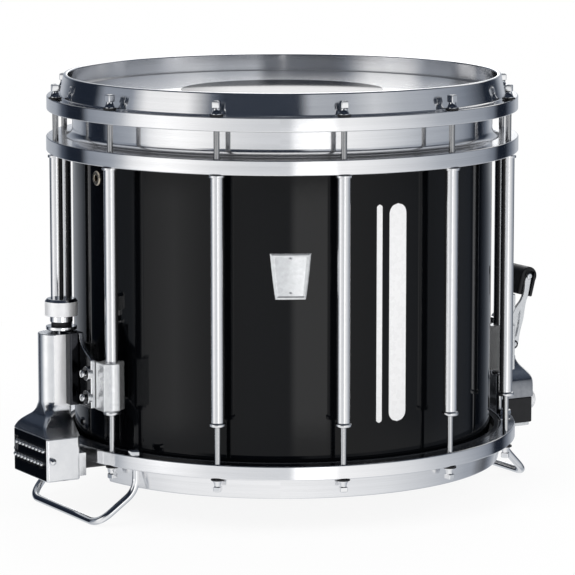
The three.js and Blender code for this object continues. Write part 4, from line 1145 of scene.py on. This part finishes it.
heads = []
for way in (1, -1):
    head = turned("head", rounded(GRIP_SCREW, 5), 40)
    moved(head, spin(-90 * way, "X"), shift(GRIP[0], 0, GRIP[1]))
    depth = sorted((way * CROSS_FLOOR, way * CROSS_OPEN))
    cross = [block((-out, out), depth, (-up, up), shift(GRIP[0], 0, GRIP[1])) for out, up in CROSS_ARMS]
    heads.append(combined(head, cross, "DIFFERENCE"))
grip_screws = gathered(heads)
grip_screws.name = "grip_screws"
moved(smooth(grip_screws), side_frame(THROW_OFF))
dressed(grip_screws, CHROME, "chrome", "lever")

# Lever grip
# The grip is moulded in black plastic over the top of the lever. It is round at the top, and its sides
# are notched to let the lever's plates in.

GRIP_ROUND = 8.1
GRIP_HALF = 14.3
GRIP_LENGTH = 17.4
GRIP_NOTCH = 4.8
GRIP_NOTCHES = ((10.7, 16), (-16, -10.7))
grip = straight("grip", (-GRIP_LENGTH, 0), -GRIP_ROUND, GRIP_ROUND, GRIP_HALF, 2.0, steps=5, ends=1.2)
combined(grip, [bar("Y", GRIP_ROUND, -GRIP_HALF, GRIP_HALF, 0, 0, 0, 64, 1.2)], "UNION")
combined(grip, [block((-GRIP_NOTCH, GRIP_NOTCH), notch, (-19, GRIP_NOTCH)) for notch in GRIP_NOTCHES],
         "DIFFERENCE")
grip.name = "lever_grip_body"
lean = math.degrees(math.atan2(GRIP[0] - PIVOT[0], GRIP[1] - PIVOT[1]))
moved(smooth(grip), spin(lean, "Y"), shift(GRIP[0], 0, GRIP[1]), side_frame(THROW_OFF))
dressed(grip, BLACK, "black_plastic", "lever", "lever_grip")

# Link
# The link is a short flat bar, chromed, with round ends. It hangs from the lever, carries the carriage
# at its foot, and is hidden in the casting.

LINK = 35
LINK_LEAN = 2.5
LINK_FOOT = (PIN[0] - LINK_LEAN, PIN[1] - math.sqrt(LINK ** 2 - LINK_LEAN ** 2))
LINK_ROUND = 4
LINK_HALF = 2.7
ends = [(LINK_ROUND * math.cos(turn), LINK_ROUND * math.sin(turn))
        for turn in (math.pi * (1 + step / 12) for step in range(13))]
tops = [(-out, LINK - up) for out, up in ends]
link = flat_plate("throw_off_link_bar", ends + tops, -LINK_HALF, LINK_HALF, 0.5)
combined(link, [bar("Y", PIVOT_HOLE, -5, 5, 0, 0, up, dome=0.1) for up in (0, LINK)], "DIFFERENCE")
link_lean = math.degrees(math.atan2(LINK_LEAN, PIN[1] - LINK_FOOT[1]))
moved(smooth(link), spin(link_lean, "Y"), shift(LINK_FOOT[0], 0, LINK_FOOT[1]), side_frame(THROW_OFF))
dressed(link, CAST_CHROME, "cast_chrome", "link", "throw_off_link")

# Carriage
# The carriage is moulded in black plastic on a satin metal base plate. It slides in the casting, hangs
# from the link by a cross pin, and has a slot for the strands' other end.

CARRIAGE_ENDS = (-3.7, 18.7)
CARRIAGE_DEPTH = 37.7
BASE = (8.7, 35.7, 27, 1.5)
BASE_ENDS = (-6.7, -3.4)
CARRIAGE_TONGUE = (LINK_FOOT[0] - LINK_ROUND, LINK_FOOT[0] + LINK_ROUND, 5.8, 0.8)
END_BAR_SLOT = ((6.7, 23.7), (-27.9, 27.9), (-3.4, 1.7))
LINK_SLOT = ((LINK_FOOT[0] - 8, LINK_FOOT[0] + 8), (-3, 3), (LINK_FOOT[1] - 12, LINK_FOOT[1] + 8))
CLAMP_KNOB_Z = 11.2
CLAMP_KNOB_HOLE = (SCREW_HOLE, 25.7, 40)

carriage = straight("throw_off_carriage_body", CARRIAGE_ENDS, BLOCK_INNER, CARRIAGE_DEPTH, THROW_HALF, 2.4,
                    steps=5, ends=1.0)
tongue = straight("tongue", (15.7, LINK_FOOT[1] + LINK_ROUND), *CARRIAGE_TONGUE, ends=0.6)
combined(carriage, [straight("base", BASE_ENDS, *BASE, ends=0.5), tongue], "UNION")
combined(carriage, [block(*END_BAR_SLOT), block(*LINK_SLOT),
                    peg(*CLAMP_KNOB_HOLE, spin(90, "Y"), shift(0, 0, CLAMP_KNOB_Z))], "DIFFERENCE")
combined(carriage, [bar("Y", 1.8, -5.5, 5.5, LINK_FOOT[0], 0, LINK_FOOT[1], dome=0.2)], "UNION")
smooth(carriage)
plated = [face.center.z < (CARRIAGE_ENDS[0] - 0.05) * MM for face in carriage.data.polygons]
moved(carriage, side_frame(THROW_OFF))
dressed(carriage, BLACK, "black_plastic", "carriage", "throw_off_carriage")
second_finish(carriage, SATIN, plated)

# Strand clamp knob
# A turned knob with a stepped neck and a satin plate screws into the carriage's face. It clamps the
# strands' end in its slot.

CLAMP_KNOB_OUTLINE = (
    (0, 28.7, 0), (3, 28.7, 0.3), (3, 38.0, 0), (6, 38.0, 0.3), (6, 41.0, 0), (9, 41.0, 0.6), (9, 53.7, 1.0),
    (7.4, 55.2, 0.8), (0, 55.2, 0))

clamp_knob = turned("clamp_knob_body", rounded(CLAMP_KNOB_OUTLINE, 4), 72)
moved(smooth(clamp_knob), spin(90, "Y"), shift(0, 0, CLAMP_KNOB_Z), side_frame(THROW_OFF))
dressed(clamp_knob, KNURLED, "chrome", "clamp_knob", "strand_clamp_knob")

# Badge
# The badge is a plain pressed metal plate with a raised border, a little wider at the top. It is bent to
# the shell and held on its front by two round pins.

BADGE_ANGLE = 2.6
BADGE_LOW = 189.8
BADGE_HIGH = 226.7
BADGE_HALF = 12.0
BADGE_FLARE = 4.4
BADGE_WALL = 13.5
BADGE_THICK = 0.5
BADGE_EDGE = (0.4, 0.3)
BORDER_INSET = 1.5
BORDER_HALF = 1.1
BORDER_RISE = 0.5
BADGE_PIN_INSET = 4.6
BADGE_PIN = 1.4
BADGE_PIN_RISE = 0.7
BEHIND = 0.02


def on_shell(name, angle, rows, columns, place_at, depth_at):
    """A thin plate bent round the shell. place_at gives the side and height, and depth_at the depth, of
    a point from its shares across, -1 to 1, and up, 0 to 1."""
    sheet = bmesh.new()
    front, back = [], []
    for row in range(rows + 1):
        for column in range(columns + 1):
            shares = (column / columns * 2 - 1, row / rows)
            side, height = place_at(*shares)
            turn = math.radians(angle) + side / SHELL_OUTER
            for grid, radius in ((front, SHELL_OUTER + depth_at(*shares)), (back, SHELL_OUTER + BEHIND)):
                grid.append(sheet.verts.new((radius * math.sin(turn) * MM, -radius * math.cos(turn) * MM,
                                             height * MM)))
    width = columns + 1
    for row in range(rows):
        for column in range(columns):
            for grid in (front, back):
                a = row * width + column
                sheet.faces.new((grid[a], grid[a + 1], grid[a + width + 1], grid[a + width]))
    edge = [*range(columns), *[row * width + columns for row in range(rows)]]
    edge += [rows * width + columns - column for column in range(columns)]
    edge += [(rows - row) * width for row in range(rows)]
    for a, b in zip(edge, edge[1:] + edge[:1]):
        sheet.faces.new((front[a], front[b], back[b], back[a]))
    return made(name, sheet)


def badge_place(across, up):
    return across * (BADGE_HALF + BADGE_FLARE * up ** 0.8), BADGE_LOW + up * (BADGE_HIGH - BADGE_LOW)


def badge_depth(across, up):
    """How far the badge stands out: a rounded edge, a raised border and two round pins."""
    side, height = badge_place(across, up)
    inset = min((1 - abs(across)) * BADGE_WALL, height - BADGE_LOW, BADGE_HIGH - height)
    border = BORDER_RISE * max(0.0, 1 - abs(inset - BORDER_INSET) / BORDER_HALF)
    pins = max(0.0, *[1 - (math.hypot(side, rise - BADGE_PIN_INSET) / BADGE_PIN) ** 2
                      for rise in (height - BADGE_LOW, BADGE_HIGH - height)])
    edge, rise = BADGE_EDGE
    return BADGE_THICK + rise * min(inset / edge, 1.0) + border + BADGE_PIN_RISE * pins


badge = on_shell("shell_badge", BADGE_ANGLE, 110, 90, badge_place, badge_depth)
dressed(smooth(badge), SATIN, "brushed_metal", "drum")

# Stripes
# Two plain stripes of thin white film, one wide and one narrow, are stuck on the lacquer beside the
# badge. They run up the shell between the hoops and have round ends.

STRIPE_ANGLE = 30.5
STRIPE_LOW = 86.6
STRIPE_HIGH = 263.6
STRIPE_THICK = 0.15
STRIPES = (("wide_stripe", 5.0, 16.0), ("narrow_stripe", -12.0, 5.0))


def stripe_place(middle, width):
    """A stripe with rounded ends, as its place across and up."""
    def place(across, up):
        height = STRIPE_LOW + up * (STRIPE_HIGH - STRIPE_LOW)
        end = min(height - STRIPE_LOW, STRIPE_HIGH - height)
        radius = width / 2
        half = radius if end >= radius else math.sqrt(max(radius ** 2 - (radius - end) ** 2, 0.01))
        return middle + across * half, height
    return place


def white_film():
    material, tree, shader = finish("white_film", coat_weight=0.3, coat_roughness=0.1)
    place = node(tree, "TexCoord")[3]
    coloured(tree, shader, noise(tree, place, 40, 3), (0.78, 0.78, 0.79), (0.84, 0.84, 0.84))
    tree.links.new(between(tree, noise(tree, place, 200), 0.2, 0.35), shader.inputs["Roughness"])
    return material


WHITE = white_film()
for name, middle, width in STRIPES:
    stripe = on_shell(name, STRIPE_ANGLE, 160, 10, stripe_place(middle, width),
                      lambda across, up: STRIPE_THICK)
    dressed(smooth(stripe), WHITE, "lacquer", "drum")

# Studio
# The drum stands on a white floor under three soft lamps, in a surround that the camera sees as white.
# What gloss mirrors is set in bands of grey round the drum: white walls, dark flags and a bright card.

LEVEL = 4.0
FILL = 0.6
COOL_POWERS = (1.1, 1.02, 0.9)
BELOW = ((-180, 0.8), (-120, 0.5), (-60, 0.9), (0, 0.95), (60, 0.8), (120, 0.4), (180, 0.8))
GROUND = (
    (-180, 0.35), (-164, 0.4), (-152, 0.45), (-143, 0.36), (-134, 0.09), (-126, 0.02), (-113, 0.015),
    (-107, 0.2), (-90, 0.35), (-80, 0.6), (-60, 0.8), (-44, 0.82), (-34, 0.78), (4, 0.72), (8, 1.2),
    (24, 1.2), (28, 1.0), (49, 0.95), (66, 0.87), (82, 0.7), (99, 0.56), (115, 0.36), (124, 0.25),
    (129, 0.02), (139, 0.02), (147, 0.24), (160, 0.6), (180, 0.5))
LOW = (
    (-180, 0.4), (-164, 0.45), (-152, 0.5), (-143, 0.4), (-134, 0.09), (-126, 0.02), (-113, 0.015),
    (-107, 0.25), (-90, 0.4), (-80, 0.95), (-60, 1.6), (-44, 1.1), (-34, 0.85), (4, 0.75), (8, 2.2),
    (24, 2.2), (28, 1.05), (49, 0.85), (66, 0.68), (82, 0.48), (99, 0.4), (115, 0.33), (124, 0.2),
    (129, 0.015), (139, 0.015), (147, 0.14), (160, 0.4), (180, 0.45))
EYE_LEVEL = (
    (-180, 0.45), (-164, 0.5), (-152, 0.42), (-143, 0.36), (-134, 0.09), (-126, 0.02), (-113, 0.015),
    (-107, 0.3), (-90, 0.4), (-83, 0.45), (-76, 0.85), (-70, 0.97), (-50, 1.0), (-34, 1.02), (-24, 0.88),
    (-10, 0.78), (6, 0.78), (20, 0.95), (33, 1.05), (49, 0.85), (66, 0.66), (82, 0.46), (99, 0.4),
    (115, 0.32), (124, 0.2), (129, 0.015), (139, 0.015), (147, 0.16), (160, 0.5), (180, 0.5))
MIDDLE = (
    (-180, 3.0), (-177.6, 3.0), (-177, 0.45), (-164, 0.28), (-150, 0.1), (-138, 0.02), (-112, 0.02),
    (-104, 0.3), (-84, 0.3), (-74, 0.95), (-50, 1.05), (-36, 0.15), (-30, 0.04), (9, 0.04),
    (15, 0.55), (33, 0.48), (49, 0.72), (66, 0.5), (80, 0.42), (108, 0.24), (130, 0.02), (147, 0.04),
    (156, 0.3), (177, 0.6), (177.6, 3.0), (180, 3.0))
HIGH = (
    (-180, 1.1), (-166, 0.9), (-150, 0.05), (-112, 0.04), (-60, 0.02), (60, 0.02), (112, 0.04),
    (145, 1.0), (180, 1.1))
TOP = ((-180, 0.6), (-120, 0.1), (-60, 0.04), (60, 0.04), (120, 0.1), (180, 0.6))
LAYERS = ((GROUND, -0.42, -0.3), (LOW, -0.2, -0.19), (EYE_LEVEL, -0.128, -0.118), (MIDDLE, -0.04, 0.03),
          (HIGH, 0.3, 0.4), (TOP, 0.6, 0.7))
LAMPS = (("key", (-1.4, -2.2, 2.2), 1.6, 44), ("side", (2.0, -1.2, 1.6), 1.4, 24),
         ("back", (0.4, 2.2, 2.0), 1.6, 26))
LAMP_AIM = (0, 0, 0.15)
FLOOR_SIZE = 6.0
FLOOR_DROP = 0.0002
FLOOR_PALE_FROM = 0.35
FLOOR_PALE_TO = 0.9


def azimuth_level(tree, turn, stops):
    """The grey that gloss mirrors at each azimuth, from stops of (azimuth, level). Greys are cool."""
    shade = node(tree, "ValToRGB", {0: turn})[0]
    elements = shade.node.color_ramp.elements
    while len(elements) < len(stops):
        elements.new(0.5)
    for element, (azimuth, _) in zip(elements, stops):
        element.position = azimuth / 360 + 0.5
    for element, (_, value) in zip(elements, stops):
        cool = [value ** power if value < 1 else value for power in COOL_POWERS]
        element.color = (*[tone / LEVEL for tone in cool], 1)
    return node(tree, "VectorMath", {0: shade, 3: LEVEL}, operation="SCALE")[0]


def blended(tree, first, second, height, start, end):
    """The first colour below start, the second above end."""
    share = node(tree, "MapRange", {"Value": height, 1: start, 2: end}, interpolation_type="SMOOTHSTEP")[0]
    return node(tree, "Mix", {0: share, 6: first, 7: second}, data_type="RGBA")[2]


def studio_wall():
    """The surround: white to the camera, an even fill on matt surfaces, and the studio in gloss."""
    world = bpy.data.worlds.new("studio")
    scene.world = world
    world.use_nodes = True
    tree = world.node_tree
    tree.nodes.clear()
    look = node(tree, "SeparateXYZ", {0: node(tree, "TexCoord")[0]})
    turn = maths(tree, "ARCTAN2", look[0], maths(tree, "MULTIPLY", look[1], -1.0))
    turn = maths(tree, "MULTIPLY_ADD", turn, 1 / math.tau, 0.5)
    gloss = azimuth_level(tree, turn, BELOW)
    for stops, start, end in LAYERS:
        gloss = blended(tree, gloss, azimuth_level(tree, turn, stops), look[2], start, end)
    rays = node(tree, "LightPath")
    fill = node(tree, "Background", {0: (1, 1, 1, 1), 1: FILL})[0]
    shine = node(tree, "Background", {0: gloss, 1: 1.0})[0]
    white = node(tree, "Background", {0: (1, 1, 1, 1), 1: 1.0})[0]
    mixed = node(tree, "MixShader", {0: rays["Is Glossy Ray"], 1: fill, 2: shine})[0]
    seen = maths(tree, "MAXIMUM", rays["Is Camera Ray"], rays["Is Transmission Ray"])
    node(tree, "OutputWorld", {0: node(tree, "MixShader", {0: seen, 1: mixed, 2: white})[0]})
    world.cycles.sampling_method = "NONE"


def white_floor():
    """A matt white that takes the drum's shadow and fades to the surround's white further out."""
    material, tree, shader = finish("white_floor", roughness=0.9, specular_ior_level=0.0,
                                    base_color=(0.9, 0.9, 0.9, 1))
    away = node(tree, "VectorMath", {0: node(tree, "TexCoord")[3]}, operation="LENGTH")[1]
    paler = node(tree, "MapRange", {"Value": away, 1: FLOOR_PALE_FROM, 2: FLOOR_PALE_TO, 3: 0.9, 4: 1.0},
                 interpolation_type="SMOOTHSTEP")[0]
    share = maths(tree, "MULTIPLY", node(tree, "LightPath")["Is Camera Ray"], paler)
    glow = node(tree, "Emission", {0: (1, 1, 1, 1), 1: 1.0})[0]
    mixed = node(tree, "MixShader", {0: share, 1: shader.outputs[0], 2: glow})[0]
    tree.links.new(mixed, tree.nodes["Material Output"].inputs[0])
    return material


studio_wall()
sheet = bmesh.new()
bmesh.ops.create_grid(sheet, x_segments=8, y_segments=8, size=FLOOR_SIZE)
floor = made("floor", sheet)
floor.location.z = -FLOOR_DROP
floor.data.materials.append(white_floor())
floor.visible_glossy = False

for name, place, size, power in LAMPS:
    lamp = bpy.data.lights.new(name, "AREA")
    lamp.size = size
    lamp.energy = power
    light = bpy.data.objects.new(name, lamp)
    scene.collection.objects.link(light)
    light.location = place
    light.rotation_euler = (Vector(LAMP_AIM) - Vector(place)).to_track_quat("-Z", "Y").to_euler()
    light.visible_glossy = False

camera = bpy.data.objects.new("camera", bpy.data.cameras.new("camera"))
scene.collection.objects.link(camera)
camera.data.sensor_width = 36
camera.data.lens = 213.35
camera.location = (0.0238, -2.8494, 0.6136)
camera.rotation_euler = (math.radians(81.196), 0, math.radians(0.3913))
camera.data.clip_end = 40
scene.camera = camera
scene.view_settings.view_transform = "Standard"
